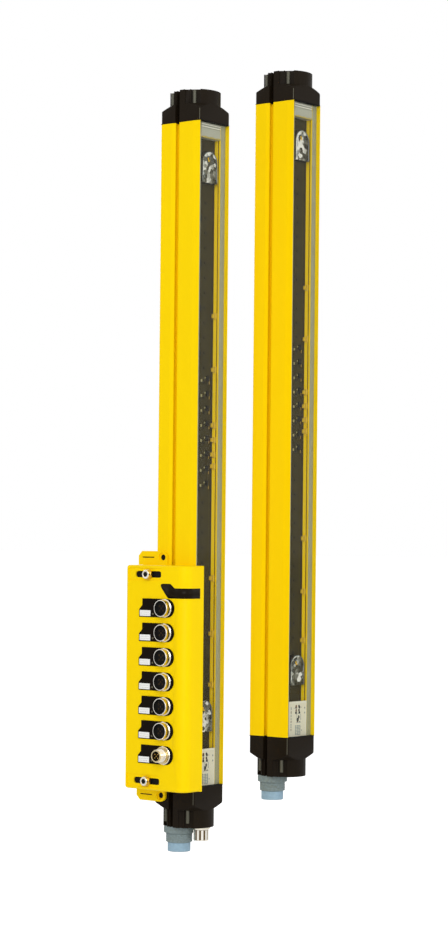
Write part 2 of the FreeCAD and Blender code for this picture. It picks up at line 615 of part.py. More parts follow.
def front_shell():
    """The hollow cover: rounded front corner, slot pans, seats for the bezels and the inset strip."""
    piece = Piece("box_front_shell")
    z_low, z_high = "(low_total + box_low)", "(low_total + box_low + box_tall)"
    y_rear, y_front = "box_rear", "(box_rear - box_width)"
    outer = [
        (BOX_PART, y_front), (f"{BOX_FRONT} + box_round", y_front, "box_round", -1),
        (BOX_FRONT, f"{y_front} + box_round"), (BOX_FRONT, f"{y_rear} - box_edge", "box_edge", -1),
        (f"{BOX_FRONT} + box_edge", y_rear), (BOX_PART, y_rear),
    ]
    inner = [
        (BOX_PART, f"{y_front} + box_wall"),
        (f"{BOX_FRONT} + box_round", f"{y_front} + box_wall", "box_round - box_wall", -1),
        (f"{BOX_FRONT} + box_wall", f"{y_front} + box_round"),
        (f"{BOX_FRONT} + box_wall", f"{y_rear} - box_wall"), (BOX_PART, f"{y_rear} - box_wall"),
    ]
    piece.pad("XY", z_low, "box_tall", outer)
    piece.dress("Fillet", "box_edge", lambda edge: on_front_rim(edge, number(BOX_PART)))
    piece.pocket("XY", f"{z_high} - box_wall", "box_tall - 2 * box_wall", inner)
    pans, openings = [], []
    for middle in ("opening_inset", "box_tall - opening_inset"):
        pans.append(face_block("pan_left", "opening_right", f"{middle} - pan_tall / 2", f"{middle} + pan_tall / 2"))
        openings.append(slot_outline(middle))
    piece.pocket("YZ", BOX_FRONT, "pan_deep", *pans, back=True)
    piece.pad("YZ", f"{BOX_FRONT} + box_wall", "pan_deep", *pans)
    piece.pocket("YZ", BOX_FRONT, "box_wall + pan_deep", *openings, back=True)
    grow = "bezel_gap"
    seat = piece.pocket("YZ", BOX_FRONT, "bezel_sink", bezel_outline("port_low", grow), back=True)
    bore = piece.pocket("YZ", BOX_FRONT, "box_wall", (*at("port_across", "port_low"), "socket_stem + 2 * bezel_gap"),
                        back=True)
    piece.repeat([seat, bore], "Z", "port_count", "port_pitch * (port_count - 1)")
    high = "(low_total + box_low + band_low + band_tall + band_gap)"
    piece.pocket("XY", high, "band_tall + 2 * band_gap", band_outline("band_gap"))
    piece.pocket("YZ", BOX_FRONT, "band_deep + band_gap", arrow_outline("band_gap"), back=True)


def slot_outline(middle):
    low, high, half = f"{middle} - opening_tall / 2", f"{middle} + opening_tall / 2", "opening_tall / 2"
    left, right = f"opening_left + {half}", f"opening_right - {half}"
    return [at(left, low), (*at(right, low), half, -1), (*at("opening_right", middle), half, -1),
            at(right, high), (*at(left, high), half, -1), (*at("opening_left", middle), half, -1)]


def on_front_rim(edge, x_part):
    """Edges of the two end faces of the cover, apart from its open back edge."""
    box = edge.BoundBox
    return box.ZLength < 1e-6 and abs(box.XMin - x_part) + abs(box.XMax - x_part) > 1e-6


def box_fittings():
    """Bezels with their sockets, the lowest one a pin connector, labels, lights and screws."""
    board = Piece("box_circuit_board")
    board_face = f"{BOX_PART} - box_board_stand"
    inset = "box_board_inset"
    board.pad("YZ", board_face, "box_board_thick",
              face_block(inset, f"box_width - {inset}", f"2 * {inset}", f"box_tall - 2 * {inset}"), back=True)
    window = Piece("box_light_window")
    window.pad("XY", "low_total + box_low + band_low", "band_tall", band_outline("0"))
    window.pad("YZ", BOX_FRONT, "band_deep", arrow_outline("0"))
    count = int(SIZES["port_count"])
    for k in range(count):
        bezel = Piece(f"port_bezel_{k + 1}")
        middle = f"(port_low + {k} * port_pitch)"
        bezel.pad("YZ", BEZEL_BACK, "bezel_thick", bezel_outline(middle, "0"),
                  (*at("port_across", middle), "socket_stem + 2 * bezel_gap"), back=True)
    sockets = Piece("socket_shells")
    first = at("port_across", "port_low + port_pitch")
    reach = "(bezel_thick - bezel_sink + socket_deep)"
    tube = sockets.pad("YZ", f"{BEZEL_FRONT} + {reach}", f"{reach}", (*first, "socket_stem"),
                       (*first, "socket_bore"), back=True)
    rim = sockets.pad("YZ", BEZEL_FRONT, "socket_stand", (*first, "socket_outer"), (*first, "socket_bore"), back=True)
    sockets.repeat([tube, rim], "Z", "port_count - 1", "port_pitch * (port_count - 2)")
    inserts = Piece("socket_inserts")
    core = inserts.pad("YZ", f"{BEZEL_FRONT} + {reach}", f"{reach} + socket_stand - socket_sink",
                       (*first, "socket_bore - 2 * insert_gap"), back=True)
    holes = inserts.pocket("YZ", f"{BEZEL_FRONT} - socket_stand + socket_sink", "contact_deep",
                           *contact_circles("port_low + port_pitch", "contact_hole"), back=True)
    inserts.repeat([core, holes], "Z", "port_count - 1", "port_pitch * (port_count - 2)")
    lowest = at("port_across", "port_low")
    shell = Piece("pin_connector_shell")
    shell.pad("YZ", f"{BEZEL_FRONT} + {reach}", reach, (*lowest, "socket_stem"), (*lowest, "male_bore"), back=True)
    shell.pad("YZ", BEZEL_FRONT, "male_base", (*lowest, "socket_outer"), (*lowest, "male_bore"), back=True)
    shell.pad("YZ", f"{BEZEL_FRONT} - male_base", "male_stand - male_base", (*lowest, "male_outer"),
              (*lowest, "male_bore"), back=True)
    insert = Piece("pin_connector_insert")
    insert.pad("YZ", f"{BEZEL_FRONT} + {reach}", f"{reach} + male_stand - male_sink",
               (*lowest, "male_bore - 2 * insert_gap"), back=True)
    pins = Piece("connector_pins")
    pins.pad("YZ", f"{BEZEL_FRONT} - male_stand + male_sink", "male_sink - insert_sink",
             *contact_circles("port_low", "contact_pin"), back=True)
    labels = Piece("port_labels")
    low = "port_low - bezel_tall / 2 + label_up"
    tag = labels.pad("YZ", BEZEL_FRONT, "label_thick",
                     face_block("label_left", "label_left + label_wide", low, f"{low} + label_tall"), back=True)
    labels.repeat([tag], "Z", "port_count", "port_pitch * (port_count - 1)")
    lights = Piece("port_lights")
    dot = lights.pad("YZ", BEZEL_FRONT, "dot_stand", (*at("dot_place", "port_low - dot_down"), "dot_size"), back=True)
    lights.repeat([dot], "Z", "port_count", "port_pitch * (port_count - 1)")
    screws = Piece("box_fixing_screws")
    floor = f"{BOX_FRONT} + pan_deep"
    heads = [(*place, "fix_head") for place in fixing_places()]
    shanks = [(*place, "fix_shank") for place in fixing_places()]
    screws.pad("YZ", floor, "pan_deep + fix_stand", *heads, back=True)
    screws.pad("YZ", floor, "box_depth - pan_deep - back_thick - 1", *shanks)
    screws.pocket("YZ", f"{BOX_FRONT} - fix_stand", "fix_hex / 2", *[hexagon(place) for place in fixing_places()],
                  back=True)


def contact_circles(up, diameter):
    y, z = at("port_across", up)
    circles = [(y, z, diameter)]
    for k in range(4):
        dy, dz = turned("0", "contact_ring", f"{k} * 90 + 45")
        circles.append((f"{y} + {dy}", f"{z} + {dz}", diameter))
    return circles


def hexagon(place):
    points = [turned("0", "(fix_hex / 2 / cos(30))", f"{k} * 60") for k in range(6)]
    return [(f"{place[0]} + {y}", f"{place[1]} + {z}") for y, z in points]


for bar_name, bar_home in HOMES.items():
    light_bar(bar_name, bar_home, with_port=bar_name == "receiver")
back_shell()
front_shell()
box_fittings()

# ---------------------------------------------------------------- check and export
doc.recompute()
for item in doc.Objects:
    if "Invalid" in item.State or "Error" in item.State:
        raise RuntimeError(f"{item.Label} did not build: {item.State}")
os.makedirs("parts", exist_ok=True)
for item in parts:
    shape = item.Shape
    if shape.isNull() or not shape.isValid():
        raise RuntimeError(f"{item.Label} has no sound shape")
    shape.exportStep(f"parts/{item.Label}.step")
print(len(parts), "sub-parts written")
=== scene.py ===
# %% [markdown]
# # A safety light curtain, dressed
#
# The object is a pair of upright light bars, a receiver and a sender, and a connection box that the
# receiver carries on its side. The construction comes in as a fixed frame of named parts at their real
# size. This notebook gives those parts their finishes, rounds their edges, and adds what is too fine
# for the frame: threads, contacts, the parts on the boards, and the plain marks behind the screens.
#
# Everything is in metres. +Z runs up the bars and the screens face -Y.

import json
import math

import bmesh
import bpy
from mathutils import Matrix, Vector


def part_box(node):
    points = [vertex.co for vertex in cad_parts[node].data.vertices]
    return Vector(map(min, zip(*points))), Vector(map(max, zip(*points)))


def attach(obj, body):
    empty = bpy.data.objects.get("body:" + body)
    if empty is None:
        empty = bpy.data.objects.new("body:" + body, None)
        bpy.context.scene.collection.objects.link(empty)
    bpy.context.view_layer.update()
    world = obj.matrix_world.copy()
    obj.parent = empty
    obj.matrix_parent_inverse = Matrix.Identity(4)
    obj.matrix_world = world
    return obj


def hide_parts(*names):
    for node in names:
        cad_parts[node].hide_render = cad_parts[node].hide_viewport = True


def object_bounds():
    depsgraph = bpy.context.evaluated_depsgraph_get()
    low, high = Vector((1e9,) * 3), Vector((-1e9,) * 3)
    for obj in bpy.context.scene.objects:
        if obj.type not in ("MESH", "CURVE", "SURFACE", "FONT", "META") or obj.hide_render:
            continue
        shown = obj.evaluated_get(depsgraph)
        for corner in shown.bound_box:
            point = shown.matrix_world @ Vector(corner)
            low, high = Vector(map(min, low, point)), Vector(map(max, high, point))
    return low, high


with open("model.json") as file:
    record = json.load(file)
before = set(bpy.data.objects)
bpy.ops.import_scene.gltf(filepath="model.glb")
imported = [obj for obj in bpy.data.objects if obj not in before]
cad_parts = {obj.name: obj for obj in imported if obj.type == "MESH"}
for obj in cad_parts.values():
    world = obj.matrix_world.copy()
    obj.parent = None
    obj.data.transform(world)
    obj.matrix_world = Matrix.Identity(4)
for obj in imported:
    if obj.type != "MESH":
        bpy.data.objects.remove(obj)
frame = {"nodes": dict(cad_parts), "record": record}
nodes = frame["nodes"]
cad_low, cad_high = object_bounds()
MM = 0.001
print(len(nodes), "parts,", f"{(cad_high - cad_low).z:.3f} m tall")

# %% [markdown]
# ## The camera
#
# The view is from the left and in front of the bars, level, at the height of the connection box's upper
# end. A level camera keeps upright edges parallel, as a view camera does; a small vertical shift frames
# the object without tilting it. The distances are measured from the receiver bar's own axis, which is
# the frame's origin.

# %% Level camera with a small shift
LONG_SIDE = 940                    # the view's longer side, in the units of the next two lengths
FOCAL = 2307.85                    # focal length
HORIZON = 64.5                     # how far the horizon lies below the middle of the view
SENSOR = 36                        # millimetres along the longer side
TURN = math.radians(-51.15)        # how far the camera has walked round from the front
ROLL = math.radians(0.554)
SIDESTEP, DISTANCE, EYE_HEIGHT = 35.86 * MM, 2536.3 * MM, 320.2 * MM

right = Vector((math.cos(TURN), math.sin(TURN), 0))
ahead = Vector((-math.sin(TURN), math.cos(TURN), 0))
camera_data = bpy.data.cameras.new("camera")
camera_data.sensor_width = SENSOR
camera_data.lens = FOCAL * SENSOR / LONG_SIDE
camera_data.shift_y = HORIZON / LONG_SIDE
camera = bpy.data.objects.new("camera", camera_data)
bpy.context.scene.collection.objects.link(camera)
stand_point = right * SIDESTEP - ahead * DISTANCE
stand_point.z = EYE_HEIGHT
level = Matrix((right, Vector((0, 0, 1)), -ahead)).transposed()
camera.matrix_world = Matrix.Translation(stand_point) @ level.to_4x4() @ Matrix.Rotation(ROLL, 4, "Z")
bpy.context.scene.camera = camera
print("camera", tuple(round(v, 3) for v in stand_point), f"{camera_data.lens:.1f} mm")

# %% [markdown]
# ## Writing materials as sums
#
# A material is a small network of nodes. To keep it readable, a Signal wraps a socket so that Python's
# own operators add the Math nodes, and a Recipe makes any other node in one call: its type, its
# settings, then the values or links of its sockets.

# %% Signal: a socket that can be added, multiplied and compared
class Signal:
    def __init__(self, recipe, socket):
        self.recipe = recipe
        self.socket = socket

    def math(self, operation, *values):
        return self.recipe.node("ShaderNodeMath", {"operation": operation}, *values).out("Value")

    def __add__(self, other):
        return self.math("ADD", self, other)

    __radd__ = __add__

    def __mul__(self, other):
        return self.math("MULTIPLY", self, other)

    __rmul__ = __mul__

    def __sub__(self, other):
        return self.math("SUBTRACT", self, other)

    def __rsub__(self, other):
        return self.math("SUBTRACT", other, self)

    def __gt__(self, other):
        return self.math("GREATER_THAN", self, other)

    def __lt__(self, other):
        return self.math("LESS_THAN", self, other)

    def largest(self, other):
        return self.math("MAXIMUM", self, other)


print("a signal takes + - * < > and largest")


# %% Recipe: the node network of one material
class Made:
    """A node that has been added, and a way to reach its outputs as signals."""

    def __init__(self, recipe, node):
        self.recipe = recipe
        self.node = node

    def out(self, name):
        return Signal(self.recipe, self.node.outputs[name])


class Recipe:
    def __init__(self, owner):
        owner.use_nodes = True
        self.tree = owner.node_tree
        self.tree.nodes.clear()

    def feed(self, socket, value):
        """Links a signal to a socket, or sets the socket to a plain value."""
        if isinstance(value, Signal):
            self.tree.links.new(value.socket, socket)
        else:
            socket.default_value = value

    def node(self, kind, settings=None, *by_place, **by_name):
        node = self.tree.nodes.new(kind)
        for name, value in (settings or {}).items():
            if name == "stops":
                fill_ramp(node.color_ramp, value)
            else:
                setattr(node, name, value)
        for socket, value in zip(node.inputs, by_place):
            self.feed(socket, value)
        for name, value in by_name.items():
            self.feed(node.inputs[name.replace("_", " ")], value)
        return Made(self, node)

    def place(self):
        """Where a point lies on the object, in metres."""
        return self.node("ShaderNodeTexCoord").out("Object")

    def noise(self, scale, detail, vector):
        return self.node("ShaderNodeTexNoise", None, Vector=vector, Scale=scale, Detail=detail).out("Fac")

    def bump(self, strength, distance, height):
        made = self.node("ShaderNodeBump", None, Strength=strength, Distance=distance, Height=height)
        return made.out("Normal")

    def blend(self, share, first, second):
        """A colour between two colours. The Mix node keeps its colour sockets at places 0, 6 and 7."""
        mix = self.node("ShaderNodeMix", {"data_type": "RGBA"}).node
        for index, value in ((0, share), (6, first), (7, second)):
            self.feed(mix.inputs[index], value)
        return Signal(self, mix.outputs[2])

    def finish(self, shader, output="ShaderNodeOutputMaterial"):
        self.node(output, None, Surface=shader)


def fill_ramp(ramp, stops):
    while len(ramp.elements) < len(stops):
        ramp.elements.new(0.5)
    for element, (position, colour) in zip(ramp.elements, stops):
        element.position = position
        element.color = colour


def colour(red, green, blue):
    """A colour from the 0 to 255 values that a screen shows."""
    def linear(value):
        share = value / 255
        return share / 12.92 if share <= 0.04045 else ((share + 0.055) / 1.055) ** 2.4
    return (linear(red), linear(green), linear(blue), 1.0)


WHITE = (1.0, 1.0, 1.0, 1.0)
print("yellow is", tuple(round(v, 3) for v in colour(255, 214, 0)))

# %% [markdown]
# ## Moulded and coated surfaces
#
# Nearly every part here is either a coated aluminium drawing or a moulding. Both have a colour that
# drifts a little, a roughness that drifts with it and a fine grain that only shows in the highlight.
# One function writes that family; each finish below it says only what is its own.

# %% A surface with a drifting colour and a fine grain
ROUGH_DRIFT = 0.12                 # how far the roughness follows the cloud in the colour
GRAIN_STRENGTH = 0.35
COAT_ROUGHNESS = 0.12
finishes = {}


def surface(name, light, dark, rough, grain, depth, metal=0.0, specular=0.5, coat=0.0, drift=22.0):
    """light and dark are the two ends of the colour; grain is in metres and depth is how deep it cuts."""
    material = bpy.data.materials.new(name)
    recipe = Recipe(material)
    spot = recipe.place()
    cloud = recipe.noise(drift, 3.0, spot)
    fine = recipe.noise(1 / grain, 2.0, spot)
    body = recipe.node("ShaderNodeBsdfPrincipled", None, Base_Color=recipe.blend(cloud, dark, light),
                       Roughness=rough + (cloud - 0.5) * ROUGH_DRIFT, Metallic=metal,
                       Normal=recipe.bump(GRAIN_STRENGTH, depth, fine), Specular_IOR_Level=specular,
                       Coat_Weight=coat, Coat_Roughness=COAT_ROUGHNESS)
    recipe.finish(body.out("BSDF"))
    finishes[name] = material


print("ready for finishes")

# %% [markdown]
# The bars are powder coated: an even, slightly soft gloss with the faint orange peel of the melted
# powder. The box is moulded in nearly the same yellow, smoother and a little glossier.

# %% Yellow coat and yellow moulding
surface("bar_yellow", colour(255, 219, 0), colour(254, 213, 0), 0.45, 0.0009, 0.00010, specular=0.06)
surface("box_yellow", colour(255, 220, 0), colour(254, 214, 0), 0.42, 0.0006, 0.00005, specular=0.06)
surface("clip_yellow", colour(252, 206, 40), colour(246, 196, 24), 0.40, 0.0006, 0.00004, specular=0.2)
surface("clip_olive", colour(236, 196, 40), colour(206, 172, 48), 0.45, 0.0006, 0.00004, specular=0.2)
# painted shade: the dark brown floors of the grooves in the screen channel's walls
surface("groove_shade", colour(120, 84, 6), colour(104, 70, 2), 0.6, 0.0006, 0.00001, specular=0.1)
print("yellow finishes", len(finishes))

# %% [markdown]
# Caps, bezels and sockets are black mouldings with an eroded grain. The caps are a warm, near black
# brown; the tapes beside the screen, the plug and the block at the top of the window are greys of their
# own.

# %% Black mouldings
surface("cap_black", colour(34, 27, 17), colour(22, 16, 9), 0.46, 0.0005, 0.00008, specular=0.07)
surface("seal_black", colour(12, 11, 10), colour(6, 6, 6), 0.75, 0.0006, 0.00006, specular=0.2)
surface("bezel_black", colour(22, 14, 7), colour(14, 9, 4), 0.42, 0.0004, 0.00006, specular=0.05)
surface("insert_black", colour(16, 14, 12), colour(9, 8, 7), 0.5, 0.0005, 0.00005, specular=0.10)
surface("holder_black", colour(30, 27, 18), colour(18, 16, 10), 0.6, 0.0005, 0.00005, specular=0.15)
surface("window_black", colour(28, 18, 6), colour(18, 11, 3), 0.30, 0.0012, 0.00002, specular=0.08)
surface("display_dark", colour(26, 22, 16), colour(14, 12, 8), 0.18, 0.0008, 0.00002, coat=0.4)
# painted highlight: the light grey of the lines down the caps' corners
surface("painted_corner_highlight", colour(104, 102, 86), colour(72, 70, 56), 0.45, 0.0006, 0.00001, specular=0.3)
print("finishes so far", len(finishes))

# %% Grey and pale mouldings
surface("strip_grey", colour(160, 160, 134), colour(146, 147, 124), 0.55, 0.0005, 0.00006)
surface("plug_grey", colour(146, 164, 170), colour(108, 116, 106), 0.55, 0.0007, 0.00012, specular=0.2,
        drift=420.0)
surface("nose_blue", colour(160, 190, 208), colour(132, 160, 178), 0.5, 0.0007, 0.00008, specular=0.25,
        drift=260.0)
surface("block_grey", colour(178, 178, 162), colour(158, 158, 142), 0.45, 0.0006, 0.00005)
surface("plate_beige", colour(226, 220, 198), colour(214, 208, 186), 0.40, 0.0008, 0.00003)
surface("label_white", colour(246, 246, 244), colour(236, 236, 234), 0.45, 0.0008, 0.00002)
surface("light_grey", colour(96, 90, 66), colour(74, 68, 48), 0.2, 0.0008, 0.00002, coat=0.4)
surface("resin_olive", colour(196, 172, 70), colour(150, 138, 84), 0.45, 0.0004, 0.00006, specular=0.2)
surface("solder_pale", colour(188, 178, 128), colour(160, 150, 104), 0.45, 0.0004, 0.00004, specular=0.2)
print("finishes so far", len(finishes))

# %% [markdown]
# Print is flat ink: no gloss worth seeing and hardly any grain, so all the inks share their last
# numbers.

# %% Inks
INKS = {"label_print": ((206, 206, 202), (190, 190, 186)), "ink_dark": ((40, 34, 24), (28, 24, 16)),
        "ink_grey": ((128, 136, 132), (112, 120, 116)), "ink_brown": ((120, 78, 24), (92, 58, 16)),
        "ink_blue": ((138, 152, 152), (116, 132, 132))}
for name, (light, dark) in INKS.items():
    surface(name, colour(*light), colour(*dark), 0.6, 0.0006, 0.00001)
surface("ink_white", colour(236, 234, 224), colour(226, 222, 210), 0.5, 0.0006, 0.00001)
print(len(INKS) + 1, "inks")

# %% [markdown]
# Metal parts are small: nickel plated shells with a warm tint, gold plated contacts and brass collars.
# Their plating is bright, so most of their look is what they mirror. The long cap screws are blackened
# steel.

# %% Plated metals
surface("socket_metal", colour(236, 222, 186), colour(214, 196, 150), 0.20, 0.0004, 0.00003, metal=1.0)
surface("port_nickel", colour(250, 244, 228), colour(216, 204, 178), 0.16, 0.0004, 0.00003, metal=1.0)
surface("pin_gold", colour(250, 205, 110), colour(236, 186, 90), 0.22, 0.0004, 0.00002, metal=1.0)
surface("screw_steel", colour(98, 97, 82), colour(64, 62, 50), 0.45, 0.0004, 0.00004, metal=0.2,
        specular=0.4)
surface("fixing_brass", colour(236, 206, 120), colour(214, 182, 96), 0.3, 0.0004, 0.00004, metal=1.0)
# painted highlight: the grey of the rods along the lenses' edges
surface("lens_edge_highlight", colour(150, 158, 160), colour(104, 112, 112), 0.25, 0.0008, 0.00006, metal=0.6)
surface("rim_bright", colour(255, 252, 244), colour(244, 238, 224), 0.16, 0.0008, 0.00003, metal=1.0)
# painted shade: dark gold and brown, for the contacts' lips and the roots between the extension port's
# flutes
surface("contact_shade", colour(96, 72, 30), colour(70, 50, 20), 0.5, 0.0004, 0.00002, metal=0.8)
print("metals done,", len(finishes), "finishes")

# %% [markdown]
# The board is lacquered in a dark olive. Fine tracks show through the lacquer as slightly lighter lines
# that run mostly up the board, so the noise is stretched along Z before it is cut into lines.

# %% Lacquered circuit board
TRACKS_PER_METRE = (900.0, 900.0, 60.0)
TRACK_CUT = 0.56                   # noise above this is a track
TRACK_SHARE = 0.35                 # how far a track shows through the lacquer

material = bpy.data.materials.new("board_olive")
recipe = Recipe(material)
spot = recipe.place()
drawn = recipe.node("ShaderNodeVectorMath", {"operation": "MULTIPLY"}, spot, TRACKS_PER_METRE).out("Vector")
tracks = (recipe.noise(1.0, 1.0, drawn) > TRACK_CUT) * TRACK_SHARE
lacquer = recipe.blend(recipe.noise(60.0, 2.0, spot), colour(50, 43, 16), colour(62, 54, 26))
shade = recipe.blend(tracks, lacquer, colour(78, 70, 38))
board = recipe.node("ShaderNodeBsdfPrincipled", None, Base_Color=shade, Roughness=0.42 + tracks * 0.1,
                    Normal=recipe.bump(0.4, 0.00004, tracks), Specular_IOR_Level=0.05)
recipe.finish(board.out("BSDF"))
finishes["board_olive"] = material
print("board finish has", len(recipe.tree.nodes), "nodes")

# %% [markdown]
# ## Clear acrylic
#
# The front screen and the lenses are clear. Light has to reach what lies behind them, so their body is
# mostly let through, and the gloss is added by how steeply the surface is seen. A Mix Shader does that:
# little reflection straight on, more at a grazing angle.

# %% Clear sheet and clear lens
GRAZING = 0.015                    # how much more is mirrored at a grazing angle


def clear(name, tint, cloud, gloss, straight):
    """cloud: how much of the tint shows; gloss: how rough the shine is; straight: what mirrors head on."""
    material = bpy.data.materials.new(name)
    recipe = Recipe(material)
    slope = recipe.node("ShaderNodeLayerWeight", None, Blend=0.35).out("Fresnel")
    through = recipe.node("ShaderNodeBsdfTransparent", None, Color=(0.98, 0.985, 0.97, 1.0)).out("BSDF")
    tinted = recipe.node("ShaderNodeBsdfPrincipled", None, Base_Color=tint, Roughness=0.3).out("BSDF")
    shine = recipe.node("ShaderNodeBsdfPrincipled", None, Base_Color=WHITE, Metallic=1.0,
                        Roughness=gloss).out("BSDF")
    body = recipe.node("ShaderNodeMixShader", None, cloud, through, tinted).out("Shader")
    mirrored = slope * GRAZING + straight
    recipe.finish(recipe.node("ShaderNodeMixShader", None, mirrored, body, shine).out("Shader"))
    finishes[name] = material


clear("clear_screen", colour(200, 205, 195), 0.006, 0.03, 0.002)
clear("lens_clear", colour(150, 148, 120), 0.10, 0.08, 0.02)
print("clear finishes done")

# %% [markdown]
# A lens is cut in facets, and each facet mirrors another piece of the room. Here that mirroring is painted
# into the colour: Voronoi cells stand for the facets, every cell draws one number, which picks its
# painted reflection, from dark olive to white, and tilts it. Painted glints and a painted highlight that
# grows towards the left are added. Outside the arch the dark board shows through.

# %% Faceted lens with painted reflections
# painted reflections and highlights of the lens, from dark to white
LENS_REFLECTION_TONES = [(0.0, colour(46, 40, 22)), (0.30, colour(78, 74, 54)), (0.52, colour(120, 118, 104)),
              (0.70, colour(184, 182, 170)), (0.86, colour(250, 248, 240))]
FACETS_PER_METRE, GLINTS_PER_METRE = 210.0, 520.0
LEFT_LIGHT = 22.0                  # how fast the tone rises towards the left, in tones a metre
LENS_BODY = 0.82                   # how much of the lens is seen, the rest is let through


def lens_with_painted_reflections(name, middle, spring, half, rise):
    """Facets in an arch, from its middle, the height it springs from, half its width and its rise."""
    material = bpy.data.materials.new(name)
    recipe = Recipe(material)
    spot = recipe.place()
    parts = recipe.node("ShaderNodeSeparateXYZ", None, spot)
    across, above = parts.out("X") - middle, (parts.out("Z") - spring).largest(0.0)
    inside = (across * across * (1 / half ** 2) + above * above * (1 / rise ** 2)) < 1.0
    cells = recipe.node("ShaderNodeTexVoronoi", None, Vector=spot, Scale=FACETS_PER_METRE).out("Color")
    chance = recipe.node("ShaderNodeSeparateXYZ", None, cells).out("X")
    # painted light: the facet's number, painted glints and a painted highlight growing towards the left
    glint = recipe.noise(GLINTS_PER_METRE, 2.0, spot)
    light = chance * 0.9 + glint * 0.5 - 0.15 - across * LEFT_LIGHT
    shade = recipe.node("ShaderNodeValToRGB", {"stops": LENS_REFLECTION_TONES}, light).out("Color")
    tone = recipe.blend(inside, colour(58, 50, 24), shade)
    glass = recipe.node("ShaderNodeBsdfPrincipled", None, Base_Color=tone, Roughness=0.1 + chance * 0.1,
                        Normal=recipe.bump(0.5, 0.0006, chance), Specular_IOR_Level=0.1).out("BSDF")
    through = recipe.node("ShaderNodeBsdfTransparent", None, Color=(0.9, 0.9, 0.86, 1.0)).out("BSDF")
    recipe.finish(recipe.node("ShaderNodeMixShader", None, LENS_BODY, through, glass).out("Shader"))
    return material


print("lens tones", len(LENS_REFLECTION_TONES))

# %% [markdown]
# ## Finishes go to the frame
#
# Every part of the frame names the finish it is made in. The finishes above carry the same names, so
# the frame takes them slot by slot.

# %% Paint the frame
finish_of = {part["node"]: part["material_slot"] for part in frame["record"]["subparts"]}
for name, node in nodes.items():
    for slot in node.material_slots:
        slot.material = finishes[finish_of[name]]
print(len(finish_of), "parts painted with", len(set(finish_of.values())), "finishes")

# %% [markdown]
# ## The studio
#
# A white surround of even light shows a colour as it is. Three large soft lamps add shape: one from the
# left, so that the box face is the brightest plane, one from the front and one from behind. What the
# camera and a shiny surface see of the surround is pure white.

# %% Surround
EVEN_LIGHT = 0.58                  # the surround's strength for light that falls on the object
world = bpy.data.worlds.new("surround")
bpy.context.scene.world = world
sky = Recipe(world)
rays = sky.node("ShaderNodeLightPath")
seen = rays.out("Is Camera Ray").largest(rays.out("Is Glossy Ray")).largest(rays.out("Is Transmission Ray"))
sky.finish(sky.node("ShaderNodeBackground", None, WHITE, seen * 0.42 + EVEN_LIGHT).out("Background"),
           "ShaderNodeOutputWorld")
bpy.context.scene.view_settings.view_transform = "Standard"
print("surround strength", EVEN_LIGHT)


# %% Soft lamps
def soft_lamp(name, spot, target, size, power):
    data = bpy.data.lights.new(name, "AREA")
    data.shape = "RECTANGLE"
    data.size, data.size_y = size
    data.energy = power
    lamp = bpy.data.objects.new(name, data)
    bpy.context.scene.collection.objects.link(lamp)
    aim = (Vector(target) - Vector(spot)).to_track_quat("-Z", "Y")
    lamp.matrix_world = Matrix.Translation(spot) @ aim.to_matrix().to_4x4()


# name, place in metres, size in metres, watts
LAMPS = (("left_lamp", (-1.95, -1.35, 1.2), (1.2, 1.8), 25.5),
         ("front_lamp", (0.5, -2.3, 1.0), (1.4, 1.8), 8),
         ("back_lamp", (1.2, 2.2, 1.4), (1.4, 1.4), 13))
for name, spot, size, power in LAMPS:
    soft_lamp(name, spot, (cad_low + cad_high) / 2, size, power)
print(len(LAMPS), "lamps,", sum(lamp[-1] for lamp in LAMPS), "W")

# %% [markdown]
# A new piece starts as a bmesh and ends as an object at the origin, with its place in its mesh, as the
# frame's own parts are. The first one is the floor. It lies well under the bars, pale and plain, and
# keeps their soft shadow. A little glow that only the camera sees brings its far end up to the white of
# the surround.

# %% Adding a piece, and the floor
FLOOR_DROP = 130 * MM              # the bars hang on their brackets, this far above the floor
FLOOR_HALF = 40.0                  # half the floor's side, in metres
FLOOR_GLOW = 0.50                  # brings the far floor up to white without hiding the shadow


def add_piece(name, shape, finish):
    """Turns a bmesh into a smooth shaded object at the origin, and returns it."""
    mesh = bpy.data.meshes.new(name)
    shape.to_mesh(mesh)
    shape.free()
    mesh.shade_smooth()
    piece = bpy.data.objects.new(name, mesh)
    mesh.materials.append(finish)
    bpy.context.scene.collection.objects.link(piece)
    return piece


floor_white = bpy.data.materials.new("floor_white")
recipe = Recipe(floor_white)
dust = recipe.noise(40.0, 2.0, recipe.place())
seen = recipe.node("ShaderNodeLightPath").out("Is Camera Ray")
matt = recipe.node("ShaderNodeBsdfPrincipled", None, Base_Color=(0.93, 0.93, 0.93, 1.0),
                   Roughness=0.85 + dust * 0.1, Specular_IOR_Level=0.1).out("BSDF")
glow = recipe.node("ShaderNodeEmission", None, WHITE, seen * FLOOR_GLOW).out("Emission")
recipe.finish(recipe.node("ShaderNodeAddShader", None, matt, glow).out("Shader"))
ground = bmesh.new()
bmesh.ops.create_grid(ground, x_segments=1, y_segments=1, size=FLOOR_HALF,
                      matrix=Matrix.Translation((0, 0, cad_low.z - FLOOR_DROP)))
piece = add_piece("floor", ground, floor_white)
print("floor at", f"{cad_low.z - FLOOR_DROP:.3f} m")

# %% [markdown]
# ## Softer edges
#
# The frame's edges are sharp, and real mouldings are not: an edge as small as half a millimetre still
# catches a line of light. Each frame part that is seen up close gets a copy whose doubled vertices are
# merged, whose flat faces are joined up again, and whose edges are rounded by a Bevel modifier. The
# copy then stands for the part.

# %% Softened copies of frame parts
SHARP = math.radians(30)           # a steeper fold than this is an edge
FLAT = math.radians(0.4)           # faces that meet flatter than this are one face
BAR_ROUNDING = {"profile": 0.3, "top_cap": 0.6, "bottom_cap": 0.6, "top_block": 0.3, "system_plug": 0.5,
                "display_module": 0.2, "screen_strips": 0.15}
BOX_ROUNDING = {"box_front_shell": 0.5, "box_back_shell": 0.5, "box_fixing_screws": 0.2,
                "receiver_extension_port": 0.25, "pin_connector_shell": 0.2, "socket_shells": 0.25}
BEZEL_ROUNDING = 0.35


